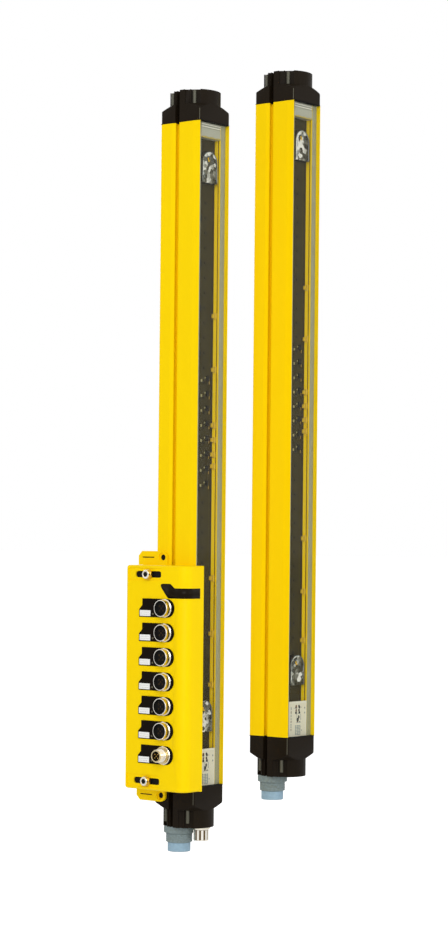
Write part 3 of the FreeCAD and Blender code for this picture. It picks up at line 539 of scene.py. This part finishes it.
def round_edges(piece, width):
    rounding = piece.modifiers.new("rounding", "BEVEL")
    rounding.width = width * MM
    rounding.segments = 2
    rounding.limit_method = "ANGLE"
    rounding.angle_limit = SHARP
    rounding.harden_normals = True
    rounding.use_clamp_overlap = True


def softened(name, width):
    shape = bmesh.new()
    shape.from_mesh(nodes[name].data)
    bmesh.ops.remove_doubles(shape, verts=shape.verts[:], dist=0.01 * MM)
    bmesh.ops.dissolve_limit(shape, angle_limit=FLAT, verts=shape.verts[:], edges=shape.edges[:])
    bmesh.ops.recalc_face_normals(shape, faces=shape.faces[:])
    piece = add_piece(name + "_soft", shape, finishes[finish_of[name]])
    piece.data.set_sharp_from_angle(angle=SHARP)
    round_edges(piece, width)
    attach(piece, "root")
    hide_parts(name)


widths = {f"{bar}_{part}": width for bar in ("receiver", "sender") for part, width in BAR_ROUNDING.items()}
widths |= BOX_ROUNDING
widths |= {f"port_bezel_{number}": BEZEL_ROUNDING for number in range(1, 8)}
for name, width in widths.items():
    softened(name, width)
print(len(widths), "parts softened")

# %% [markdown]
# ## Small shapes
#
# The rest is small hardware and print. Each group is one mesh, drawn in millimetres from the boxes of
# the frame parts that it belongs to. Three helpers draw nearly all of it: a box between two corners, a
# round bar, and an outline spun about an axis, which is how turned parts are drawn.

# %% Boxes, round bars and turned parts
FACING_LEFT = Matrix.Rotation(math.radians(-90), 4, "Y")      # turns a part's axis from up to -X
FACING_FRONT = Matrix.Rotation(math.radians(90), 4, "X")      # and from up to -Y


def corners(name):
    """The lowest and highest corner of a frame part, in millimetres."""
    low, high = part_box(name)
    return Vector(low) / MM, Vector(high) / MM


def at(x, y, z):
    return Matrix.Translation(Vector((x, y, z)) * MM)


def cuboid(shape, low, high):
    low, high = Vector(low) * MM, Vector(high) * MM
    stand = Matrix.Translation((low + high) / 2) @ Matrix.Diagonal((*(high - low), 1))
    return bmesh.ops.create_cube(shape, size=1, matrix=stand)["verts"]


def disc(shape, radius, depth, stand, sides, taper=1.0):
    """A round bar about Z, centred on a matrix; its upper end is tapered."""
    bmesh.ops.create_cone(shape, cap_ends=True, segments=sides, radius1=radius * MM,
                          radius2=radius * MM * taper, depth=depth * MM, matrix=stand)


def lathe(shape, outline, stand, steps=48):
    """Spins an outline of (radius, height) about Z, joins its ends, and stands it at a matrix."""
    shape.verts.ensure_lookup_table()
    first = len(shape.verts)
    verts = [shape.verts.new((radius * MM, 0, height * MM)) for radius, height in outline]
    edges = [shape.edges.new(pair) for pair in zip(verts, verts[1:] + verts[:1])]
    bmesh.ops.spin(shape, geom=verts + edges, cent=(0, 0, 0), axis=(0, 0, 1), angle=math.tau, steps=steps,
                   use_merge=True)
    shape.verts.ensure_lookup_table()
    bmesh.ops.transform(shape, matrix=stand, verts=shape.verts[first:])


def raised(outline, lift):
    """The same outline, higher up."""
    return [(radius, lift + height) for radius, height in outline]


def fit(name, shape, finish, rounding=0.0, sharp=SHARP):
    """Adds a small piece to the object, with its doubles merged and its edges rounded if asked."""
    bmesh.ops.remove_doubles(shape, verts=shape.verts[:], dist=0.001 * MM)
    bmesh.ops.recalc_face_normals(shape, faces=shape.faces[:])
    piece = add_piece(name, shape, finishes[finish])
    piece.data.set_sharp_from_angle(angle=sharp)
    if rounding:
        round_edges(piece, rounding)
    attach(piece, "root")
    return piece


home = corners("receiver_profile")[0]
shifts = {bar: corners(bar + "_profile")[0] - home for bar in ("receiver", "sender")}
print("sender stands", tuple(round(v, 1) for v in shifts["sender"]), "mm from the receiver")

# %% [markdown]
# ## Behind the screen: the board
#
# A light bar's board is nearly as long as the bar. Small drivers and their vias run up its middle at an
# even pitch; the supply parts crowd at mid height. Moulded clips on the right wall of the channel hold
# the board down. The parts are low blocks with rounded edges, one mesh for each finish.

# %% Parts and clips on the boards
DRIVER_PITCH, FIRST_DRIVER, BARE_ENDS = 16.4, 62, 120
# mesh, left and right edge from the middle, lower and upper edge, thickness
DRIVER = ("chips", -0.2, 2.2, 0, 2.4, 0.8)
MEMORY = ("chips", -9.5, -5.5, -3, 4, 1.1)
SUPPLY = (("pads", 2.6, 3.8, 6, 7.6, 0.5), ("chips", 4.6, 9.4, 3, 9, 1.6),
          ("tracks", 10.2, 10.9, 0, 7, 0.4), ("pads", -4.2, -2.4, 2, 4.8, 0.9))
SUPPLY_STEPS = range(16, 24)
CLIP_PLACES = (560, 501, 440, 424, 408, 395, 272, 211, 155)      # middles of the clips, up the receiver
# how far a clip's arm and foot reach in, their front and back from the board's face, half their height
CLIP_BLOCKS = ((2.2, 5.2, 2.4, 3.4), (3.4, 2.6, 0.1, 2.2))
BOARD_PIECES = {"chips": ("holder_black", "holder_black", 0.2), "pads": ("solder_pale", "port_nickel", 0.1),
                "tracks": ("fixing_brass", "fixing_brass", 0.0), "clips": ("clip_olive", "bar_yellow", 0.3)}

for bar, shift in shifts.items():
    low, high = corners(bar + "_circuit_board")
    face, middle = low.y, (low.x + high.x) / 2
    shapes = {name: bmesh.new() for name in BOARD_PIECES}
    count = int((high.z - low.z - BARE_ENDS) / DRIVER_PITCH)
    for step in range(count):
        height = low.z + FIRST_DRIVER + step * DRIVER_PITCH
        blocks = [DRIVER]
        if step % 3 == 1:
            blocks.append(MEMORY)
        if step in SUPPLY_STEPS:
            blocks.extend(SUPPLY)
        for name, left, right_edge, bottom, top, thick in blocks:
            cuboid(shapes[name], (middle + left, face - thick, height + bottom),
                   (middle + right_edge, face, height + top))
    for place in CLIP_PLACES:
        height = place + shift.z
        for reach, front, back, half in CLIP_BLOCKS:
            cuboid(shapes["clips"], (high.x - reach, face - front, height - half),
                   (high.x + 0.1, face - back, height + half))
    for name, (finish, slot, rounding) in BOARD_PIECES.items():
        fit(f"{bar}_board_{name}", shapes[name], finish, rounding)
print(count, "drivers and", len(CLIP_PLACES), "clips a bar")

# %% [markdown]
# ## Lenses
#
# Each beam leaves or enters through a moulded lens, a clear block with an arched head. The light along its
# edge is painted: a bent grey rod follows the arch, and a smaller one inside it, as painted highlights.
# A small yellow hook holds it through a hole near the head; the hole's shade is a painted dark ring.

# %% Arches and rods
def arch(middle, half, foot, spring, head):
    """The points of an arch: up the left leg, round the head, down the right leg."""
    turns = [math.pi - math.pi * step / 20 for step in range(21)]
    round_head = [(middle + half * math.cos(a), spring + (head - spring) * math.sin(a)) for a in turns]
    return [(middle - half, foot), *round_head, (middle + half, foot)]


def rod(name, points, depth, radius, finish):
    """A round rod through points (x, z) at one depth, made as a curve and turned into a mesh."""
    data = bpy.data.curves.new(name, "CURVE")
    data.dimensions = "3D"
    data.bevel_depth = radius * MM
    data.bevel_resolution = 3
    data.use_fill_caps = True
    line = data.splines.new("POLY")
    line.points.add(len(points) - 1)
    for point, (x, z) in zip(line.points, points):
        point.co = (x * MM, depth * MM, z * MM, 1)
    draft = bpy.data.objects.new(name + "_draft", data)
    shape = bmesh.new()
    shape.from_mesh(bpy.data.meshes.new_from_object(draft))
    bpy.data.objects.remove(draft)
    fit(name, shape, finish, sharp=math.radians(50))


print("an arch has", len(arch(0, 1, 0, 1, 2)), "points")

# %% Lens rims and steps as painted highlights, hole shade and hooks
LENS_HEAD = 13                     # from the spring of the arch to the lens's upper edge
LENS_EDGE = 0.9                    # from the lens's edge to the middle of its rim
FACET_RISE = 12.4
HOLE_SHADE_RING = ((1.3, 0), (2.1, 0), (2.1, 0.5), (1.3, 0.5))

for bar in shifts:
    for level in ("lower", "upper"):
        lens = f"{bar}_{level}_lens"
        low, high = corners(lens)
        middle, half, spring = (low.x + high.x) / 2, (high.x - low.x) / 2 - LENS_EDGE, high.z - LENS_HEAD
        facets = lens_with_painted_reflections(f"{bar}_{level}_facets", middle * MM, spring * MM, half * MM, FACET_RISE * MM)
        nodes[lens].material_slots[0].material = facets
        rim = arch(middle, half, low.z + LENS_EDGE, spring, high.z - LENS_EDGE)
        # painted highlights: grey rods along the lens's edge and its inner step
        rod(lens + "_rim", rim, low.y + 0.65, 0.38, "lens_edge_highlight")
        inner = arch(middle - 1.5, half - 4.5, low.z + 5, spring - 2, high.z - 5.5)
        rod(lens + "_step", inner, low.y + 0.55, 0.28, "lens_edge_highlight")
        # painted shade: a dark ring in the tab hole
        hole = bmesh.new()
        lathe(hole, HOLE_SHADE_RING, at(middle - 3.4, low.y + 0.6, high.z - 8.6) @ FACING_FRONT, 24)
        fit(lens + "_hole", hole, "ink_dark")
        hook = bmesh.new()
        cuboid(hook, (middle - 3.9, low.y - 0.1, high.z - 10.4), (middle - 2.7, low.y + 1.2, high.z - 7.4))
        cuboid(hook, (middle - 3.1, low.y - 0.1, high.z - 11.6), (middle - 1.1, low.y + 0.9, high.z - 10.2))
        fit(lens + "_hook", hook, "clip_yellow", 0.25)
print("four lenses trimmed")

# %% [markdown]
# ## Marks on the display plate
#
# The plate at the foot of the window carries the state lamps and the marks that explain them. They are
# given here as plain signs that mean nothing in words: lamp rims, bars, a frame, a hatched field and a
# column of dashes. Print is a film, so each mark stands a few hundredths of a millimetre off the plate.

# %% How a mark and a lamp are printed
PRINT = 0.07                       # how far the ink stands off the plate


def mark(plate, ink, left, up, width, height):
    """A printed bar; places and sizes are shares of the plate, from its lower left corner."""
    low, high = plate
    wide, tall = high.x - low.x, high.z - low.z
    x, z = low.x + left * wide, low.z + up * tall
    cuboid(ink, (x, low.y - PRINT, z), (x + width * wide, low.y, z + height * tall))


def dot(plate, ink, left, up, radius, squash):
    """A printed oval; its radius is in millimetres."""
    low, high = plate
    stand = at(low.x + left * (high.x - low.x), low.y, low.z + up * (high.z - low.z))
    disc(ink, radius, 2.4 * PRINT, stand @ FACING_FRONT @ Matrix.Diagonal((1, squash, 1, 1)), 24, 0.9)


print("ink stands", PRINT, "mm off the plate")

# %% Printed marks
# shares of the plate, from its lower left corner: left, up, width, height
DASHES = ((0.78, 0.07), (0.67, 0.07), (0.58, 0.05), (0.50, 0.03), (0.41, 0.05), (0.33, 0.04), (0.27, 0.03),
          (0.18, 0.05))
FRAME_BARS = ((0.44, 0.45, 0.02, 0.19), (0.66, 0.46, 0.02, 0.17), (0.47, 0.635, 0.18, 0.012),
              (0.27, 0.795, 0.05, 0.02), (0.67, 0.81, 0.04, 0.02), (0.70, 0.15, 0.04, 0.03))
INK_PIECES = {"dark": "display_dark", "brown": "plate_beige", "grey": "plate_beige", "blue": "plate_beige",
              "white": "plate_beige"}

for bar in shifts:
    plate = corners(bar + "_indicator_plate")
    inks = {name: bmesh.new() for name in INK_PIECES}
    dark, brown, grey, blue, white = inks.values()
    for row, (up, height) in enumerate(DASHES):
        mark(plate, brown if row % 3 == 1 else grey, 0.105, up, 0.035, height)
        mark(plate, dark, 0.105, up - 0.012, 0.035, 0.012)
    for left, ink in ((0.41, brown), (0.57, dark)):
        for up in (0.86, 0.745):
            dot(plate, ink, left, up, 1.45, 1.15)
    dot(plate, dark, 0.56, 0.55, 1.6, 1.3)
    for bar_shares in FRAME_BARS:
        mark(plate, grey, *bar_shares)
    mark(plate, brown, 0.44, 0.40, 0.09, 0.022)
    mark(plate, dark, 0.57, 0.40, 0.08, 0.022)
    mark(plate, blue, 0.40, 0.385, 0.28, 0.010)
    for line in range(7):
        mark(plate, blue, 0.36 + 0.02 * (line % 2), 0.04 + line * 0.042, 0.28, 0.016)
    for left in (0.36, 0.50, 0.62):
        mark(plate, blue, left, 0.04, 0.03, 0.28)
    for up in (0.80, 0.66):
        dot(plate, grey, 0.90, up, 0.9, 1.3)
    mark(plate, white, 0.03, 0.955, 0.94, 0.02)
    mark(plate, white, 0.955, 0.03, 0.02, 0.93)
    for name, slot in INK_PIECES.items():
        fit(f"{bar}_plate_marks_{name}", inks[name], "ink_" + name)
print(len(INK_PIECES), "inks on each plate")

# %% [markdown]
# The moulded block at the head of the window has two pale ridges under its upper edge, and a foot of
# potting resin that ran unevenly before it set.

# %% Ridges and resin of the top block
RIDGES_DOWN = (1.6, 4.2)
DROPS, DROP_PITCH = 11, 3.0

for bar in shifts:
    low, high = corners(bar + "_top_block")
    ridges, resin = bmesh.new(), bmesh.new()
    for down in RIDGES_DOWN:
        cuboid(ridges, (low.x + 0.4, low.y - 0.16, high.z - down - 1.0),
               (high.x - 0.4, low.y, high.z - down))
    for step in range(DROPS):
        left = low.x + 0.3 + step * DROP_PITCH
        run = 1.2 + 0.9 * math.sin(step * 2.3) ** 2
        cuboid(resin, (left, low.y - 0.10, low.z - 0.1), (left + 2.9, low.y + 2.0, low.z + run))
    fit(bar + "_block_ridges", ridges, "ink_white", 0.05)
    fit(bar + "_block_resin", resin, "resin_olive", 0.3)
print(len(RIDGES_DOWN), "ridges and", DROPS, "drops a block")

# %% [markdown]
# ## Sockets and the pin connector
#
# A round industrial socket has a plated barrel with a bright rim, a flange where it meets the bezel, a
# black insert with a ring of contact holes around one in the middle, and a black sleeve. The contact
# holes are drawn as thin black discs, painted shade, each with a lip in the contacts' gold darkened as
# painted shade. The pin connector has the same flange and an outside thread. All are turned parts, so
# each is an outline of (radius, height) that a lathe spins.

# %% Outlines of the turned parts
FLANGE = ((8.9, 0), (10.0, 0), (10.0, 0.7), (9.6, 1.1), (8.9, 1.1))
# these three are measured from the barrel's front edge
RIM = ((8.3, -0.3), (8.3, 0.12), (8.7, 0.2), (9.0, 0.1), (9.14, -0.4), (8.9, -0.4))
SLEEVE_FRONT = ((7.62, -0.3), (7.62, 0.05), (8.28, 0.05), (8.28, -0.3))
SLEEVE_CONE = ((6.4, -1.7), (7.58, -1.7), (7.58, -0.2), (7.3, -0.2))
CONTACT_LIP = ((0.62, 0), (0.95, 0), (0.85, 0.12), (0.66, 0.12))
CONTACT_HOLE_SHADE = ((0.0, 0.0), (0.62, 0.0), (0.62, 0.04), (0.0, 0.04))
THREAD = ((6.4, -0.42), (6.95, -0.08), (6.95, 0.08), (6.4, 0.42))
THREAD_ROOT = ((6.3, 1.2), (8.4, 1.2), (8.4, 2.2), (6.62, 2.9), (6.62, 11.9), (6.3, 11.9))
SOCKETS, CONTACTS, CONTACT_RING = 6, 5, 3.4
THREAD_START, THREAD_PITCH, THREAD_TURNS = 3.6, 0.95, 9

bezel_face = corners("port_bezel_1")[0].x
insert_face = corners("socket_inserts")[0].x
sockets_low, sockets_high = corners("socket_shells")
socket_radius = (sockets_high.y - sockets_low.y) / 2
socket_y = (sockets_high.y + sockets_low.y) / 2
socket_pitch = (sockets_high.z - sockets_low.z - 2 * socket_radius) / (SOCKETS - 1)
reach = bezel_face - sockets_low.x
print("sockets at pitch", round(socket_pitch, 2), "mm, barrels", round(reach, 1), "mm long")

# %% Flanges, rims and contacts
flanges, rims, sleeves, lips, hole_shades = (bmesh.new() for _ in range(5))
for number in range(SOCKETS):
    z = sockets_low.z + socket_radius + number * socket_pitch
    base = at(bezel_face, socket_y, z) @ FACING_LEFT
    lathe(flanges, FLANGE, base)
    lathe(rims, raised(RIM, reach), base)
    lathe(sleeves, raised(SLEEVE_FRONT, reach), base)
    lathe(sleeves, raised(SLEEVE_CONE, reach), base)
    inner = at(insert_face, socket_y, z) @ FACING_LEFT
    for contact in range(CONTACTS):
        ring = 0 if contact == CONTACTS - 1 else CONTACT_RING
        angle = math.radians(45 + 90 * contact)
        hole = inner @ at(ring * math.cos(angle), ring * math.sin(angle), 0)
        # painted shade: a lip in the contacts' gold darkened by painted shade, and a black disc for each
        # contact hole
        lathe(lips, CONTACT_LIP, hole, 20)
        lathe(hole_shades, CONTACT_HOLE_SHADE, hole, 20)
pin_low, pin_high = corners("pin_connector_shell")
base = at(bezel_face, (pin_low.y + pin_high.y) / 2, (pin_low.z + pin_high.z) / 2) @ FACING_LEFT
lathe(flanges, FLANGE, base)
for turn in range(THREAD_TURNS):
    lathe(flanges, raised(THREAD, THREAD_START + turn * THREAD_PITCH), base)
fit("socket_flanges", flanges, "rim_bright")
roots = bmesh.new()
lathe(roots, THREAD_ROOT, base)
fit("pin_connector_thread_root", roots, "fixing_brass")
fit("socket_rims", rims, "rim_bright")
fit("socket_sleeves", sleeves, "insert_black")
fit("contact_lips", lips, "contact_shade")
fit("contact_hole_shades", hole_shades, "seal_black")
print(SOCKETS, "sockets with", CONTACTS, "contacts each")

# %% [markdown]
# ## Fixing screws of the box
#
# The two screws that hold the box to the bar stand in slots. Each has a bright washer face with a
# hexagon socket, whose shade is painted as a black hexagon, and behind it a brass collar that shows at its
# side.

# %% Washer faces, hexagon sockets and collars
WASHER = ((2.9, -0.6), (2.9, 0.25), (3.3, 0.35), (4.5, 0.3), (4.78, 0.0), (4.78, -1.4), (4.5, -1.4))
COLLAR = ((4.6, -2.6), (5.3, -2.6), (5.5, -3.0), (5.5, -3.9), (5.2, -4.3), (4.6, -4.3))

screw_low, screw_high = corners("box_fixing_screws")
screw_y = (screw_low.y + screw_high.y) / 2
screw_radius = (screw_high.y - screw_low.y) / 2
screw_heights = (screw_low.z + screw_radius, screw_high.z - screw_radius)
faces, sockets, collars = (bmesh.new() for _ in range(3))
for z in screw_heights:
    head = at(screw_low.x, screw_y, z) @ FACING_LEFT
    lathe(faces, WASHER, head)
    # painted shade: a black hexagon for the socket's recess
    disc(sockets, 2.95, 0.3, head @ Matrix.Translation((0, 0, 0.02 * MM)), 6)
    lathe(collars, COLLAR, head)
fit("fixing_screw_faces", faces, "rim_bright")
fit("fixing_screw_socket_shades", sockets, "seal_black")
fit("fixing_screw_collars", collars, "fixing_brass")
print("fixing screws at", round(screw_y, 1))

# %% [markdown]
# ## The black film of the light window
#
# The window's film starts as a lobe on the face, steps down to a band, and runs round the corner of the
# box. It is laid as strips across its length, so that it can bend round the corner, and given a little
# thickness.

# %% Film wrapped round the corner
FILM_GAP, FILM_THICK = 0.14, 0.1   # how far the film stands off the box, and how thick it is
CORNER = 12.0                      # the radius of the box's corner
BAND_TALL, LOBE_RISE = 10.9, 4.7
SIDE_STRIPS = 24

shell_low, shell_high = corners("box_front_shell")
window_low, window_high = corners("box_light_window")
lower, upper = window_low.z - 0.1, window_low.z + BAND_TALL
peak = upper + LOBE_RISE
# the lobe's edges: across the face in Y, then its lower and upper edge
LOBE = ((-4.3, peak - 2.1, peak - 2.1), (-4.6, peak - 3.4, peak - 0.9), (-6.2, peak - 5.8, peak - 0.1),
        (-9.0, peak - 9.0, peak), (-12.0, lower + 2.9, peak), (-14.3, lower + 0.5, peak),
        (-15.6, lower, peak), (-18.0, lower, peak - 0.1), (-19.2, lower, peak - 0.9),
        (-23.4, lower, upper + 0.3), (-24.6, lower, upper))
face_end = -shell_low.y - CORNER   # where the flat face turns into the corner


def wrapped(along):
    """A point of the box's skin, from how far it lies along the face in -Y and round the corner."""
    if along <= face_end:
        return shell_low.x - FILM_GAP, -along
    turn = min((along - face_end) / CORNER, math.pi / 2)
    rest = along - face_end - turn * CORNER
    x = shell_low.x + CORNER - (CORNER + FILM_GAP) * math.cos(turn) + rest
    return x, -face_end - (CORNER + FILM_GAP) * math.sin(turn)


film = bmesh.new()
columns = [(-y, below, above) for y, below, above in LOBE]
start, end = columns[-1][0], face_end + CORNER * math.pi / 2 + (window_high.x - shell_low.x - CORNER)
for step in range(1, SIDE_STRIPS + 1):
    columns.append((start + (end - start) * step / SIDE_STRIPS, lower, upper))
pairs = []
for along, below, above in columns:
    x, y = wrapped(along)
    pairs.append([film.verts.new((x * MM, y * MM, z * MM)) for z in (below, above)])
for (a, b), (c, d) in zip(pairs, pairs[1:]):
    film.faces.new((a, c, d, b))
bmesh.ops.remove_doubles(film, verts=film.verts[:], dist=0.001 * MM)
bmesh.ops.recalc_face_normals(film, faces=film.faces[:])
film_piece = fit("light_window_film", film, "window_black")
film_piece.modifiers.new("film", "SOLIDIFY").thickness = FILM_THICK * MM
print("film", round(end - columns[0][0], 1), "mm long")

# %% [markdown]
# ## Ribs of the box
#
# Low ribs divide the ports. A rib is a long block with rounded edges that stands a quarter of a
# millimetre proud of the face.

# %% Ribs between the ports
ribs = bmesh.new()
first_low, first_high = corners("port_bezel_1")
for gap in range(SOCKETS):
    z = first_high.z + gap * socket_pitch + (socket_pitch - (first_high.z - first_low.z)) / 2
    cuboid(ribs, (shell_low.x - 0.28, first_low.y + 6, z - 0.8),
           (shell_low.x + 0.05, first_high.y - 2, z + 0.8))
fit("box_ribs", ribs, "box_yellow", 0.2)
print(SOCKETS, "ribs between", SOCKETS + 1, "ports")

# %% [markdown]
# ## Connectors under the caps
#
# The grey system plug has a coupling thread on its middle step, a finger grip on its collar and a pale
# blue nose. The extension port beside it is a nickel plated coupling nut with deep flutes; the roots
# between the flutes are painted dark brown, painted shade.

# %% Threads, grips and flutes
def ridged_ring(shape, centre, radius, count, low, high, deep, share):
    """Upright ridges around a turned part: a coupling nut's flutes or a collar's grip."""
    for step in range(count):
        half = math.pi * radius / count * share
        ridge = cuboid(shape, (radius - 0.3, -half, low), (radius + deep, half, high))
        turn = Matrix.Rotation(math.tau * step / count, 4, "Z")
        bmesh.ops.transform(shape, matrix=at(centre.x, centre.y, 0) @ turn, verts=ridge)


PLUG_THREAD = ((14.2, -0.75), (14.62, -0.2), (14.62, 0.2), (14.2, 0.75))
PLUG_THREAD_TOP, PLUG_PITCH, PLUG_TURNS = -9.2, 1.9, 5
NOSE = ((10.1, 0), (12.1, 0), (12.6, 0.5), (12.6, 9.6), (12.2, 10.2), (11.0, 10.2), (11.0, 1.2),
        (10.1, 1.2))
PORT_TIP = ((7.5, -14.8), (8.1, -14.8), (8.3, -14.5), (8.3, -14.0), (7.5, -13.8))
PORT_COLLAR = ((7.5, -3.0), (8.5, -2.8), (8.9, -2.4), (8.9, -1.7), (7.5, -1.6))
PORT_ROOT = ((7.5, -13.8), (7.86, -13.8), (7.86, -3.1), (7.5, -3.1))

for bar, shift in shifts.items():
    low, high = corners(bar + "_system_plug")
    centre = (low + high) / 2
    axis = at(centre.x, centre.y, 0)
    thread, nose = bmesh.new(), bmesh.new()
    for turn in range(PLUG_TURNS):
        lathe(thread, raised(PLUG_THREAD, PLUG_THREAD_TOP + shift.z - turn * PLUG_PITCH), axis)
    ridged_ring(thread, centre, 16.5, 36, -6.6 + shift.z, -1.6 + shift.z, 0.35, 0.5)
    fit(bar + "_plug_thread", thread, "plug_grey")
    lathe(nose, raised(NOSE, low.z), axis)
    fit(bar + "_plug_nose", nose, "nose_blue")
low, high = corners("receiver_extension_port")
centre = (low + high) / 2
axis = at(centre.x, centre.y, 0)
flutes, roots = bmesh.new(), bmesh.new()
ridged_ring(flutes, centre, 7.6, 11, -13.9, -3.2, 0.8, 0.62)
lathe(flutes, PORT_TIP, axis)
lathe(flutes, PORT_COLLAR, axis)
fit("extension_port_flutes", flutes, "rim_bright", 0.12)
# painted shade: the roots between the flutes in a dark brown
lathe(roots, PORT_ROOT, axis)
fit("extension_port_root_shades", roots, "contact_shade")
print("connectors finished")

# %% [markdown]
# ## Wall grooves and label lines
#
# A groove runs down each wall of the screen channel. It is so narrow that it reads as one dark line, so
# its floor is painted dark brown, painted shade. The writing labels of the ports carry two rows of faint
# plain dashes.

# %% Groove floors
GROOVE_DOWN, GROOVE_TALL, GROOVE_CUT = 2.6, 1.7, 0.8      # behind the screen, across and into the wall
shades = bmesh.new()
for bar in shifts:
    low, high = corners(bar + "_profile")
    screen_back = corners(bar + "_front_screen")[1].y
    board_low, board_high = corners(bar + "_circuit_board")
    for wall, out in ((board_low.x - 0.1, -1), (board_high.x + 0.1, 1)):
        floor_x = wall + out * (GROOVE_CUT - 0.05)
        cuboid(shades, (floor_x - 0.03, screen_back + GROOVE_DOWN + 0.05, low.z + 0.4),
               (floor_x + 0.03, screen_back + GROOVE_DOWN + GROOVE_TALL - 0.05, high.z - 0.4))
# painted shade: a dark brown strip on each groove's floor
fit("wall_groove_floors", shades, "groove_shade")
print("groove floors", round(high.z - low.z - 0.8, 1), "mm long")

# %% Label dashes
DASH_ROWS = (1.6, 3.9)             # heights of the two rows on a label
labels_low, labels_high = corners("port_labels")
dashes = bmesh.new()
for port in range(SOCKETS + 1):
    for row, up in enumerate(DASH_ROWS):
        for step in range(5 + row):
            left = labels_high.y - 1.6 - step * (2.4 - 0.35 * row)
            z = labels_low.z + port * socket_pitch + up
            cuboid(dashes, (labels_low.x - 0.03, left - 1.5 + 0.3 * row, z), (labels_low.x, left, z + 0.55))
fit("label_dashes", dashes, "label_print")
print(len(DASH_ROWS), "rows of dashes on", SOCKETS + 1, "labels")

# %% [markdown]
# ## Painted highlights on the caps, painted shade in the box's slots and ears
#
# The caps carry a thin light grey line down their corners beside the screen, a painted highlight for the
# corner. In the box, a black sheet behind the wall closes each fixing slot, so that only the screw shows:
# painted shade for the slot. The ears' holes and the narrow lines cut across the ears get black floors,
# painted shade for their insides.

# %% Cap corner lines, painted highlights
LINE_RADIUS, LINE_IN = 0.4, 1.0
lines = bmesh.new()
for bar in shifts:
    low, high = corners(bar + "_profile")
    top_joint, bottom_joint = corners(bar + "_top_cap")[0].z, corners(bar + "_bottom_cap")[1].z
    for bottom, top in ((top_joint + 0.3, top_joint + 12.3), (bottom_joint - 18.3, bottom_joint - 0.3)):
        for side in (low.x + LINE_IN, high.x - LINE_IN):
            # painted highlight: a thin light grey bar down each corner
            disc(lines, LINE_RADIUS, top - bottom, at(side, low.y + LINE_IN, (top + bottom) / 2), 8)
fit("cap_corner_highlights", lines, "painted_corner_highlight")
print("eight mould lines")

# %% Slot shade sheets and ear floors, painted shade
EAR_DOWN, EAR_HOLE_IN, EAR_HOLE_RADIUS = 8.4, 28.6, 3.2
EAR_LINE_LONG, EAR_LINE_DEEP = 17.0, 0.8
slot_shades, ears = bmesh.new(), bmesh.new()
for z in screw_heights:
    # painted shade: a black sheet behind each fixing slot
    cuboid(slot_shades, (shell_low.x + 2.65, -8.0, z - 4.6), (shell_low.x + 3.2, 36.0, z + 4.6))
fit("slot_shade_sheets", slot_shades, "seal_black", 0.1)
ear_face, rear = shell_high.x, shell_high.y
# painted shade: a black disc in each ear's hole and a black floor in each line across the ear
for z in (shell_low.z - EAR_DOWN, shell_high.z + EAR_DOWN):
    disc(ears, EAR_HOLE_RADIUS, 0.3, at(ear_face + 2.6, rear - EAR_HOLE_IN, z) @ FACING_LEFT, 32)
    cuboid(ears, (ear_face + EAR_LINE_DEEP - 0.05, rear - EAR_LINE_LONG + 0.2, z - 0.55),
           (ear_face + EAR_LINE_DEEP + 0.05, rear - 0.2, z + 0.55))
fit("ear_hole_shades", ears, "seal_black")
print("liners and ears done")
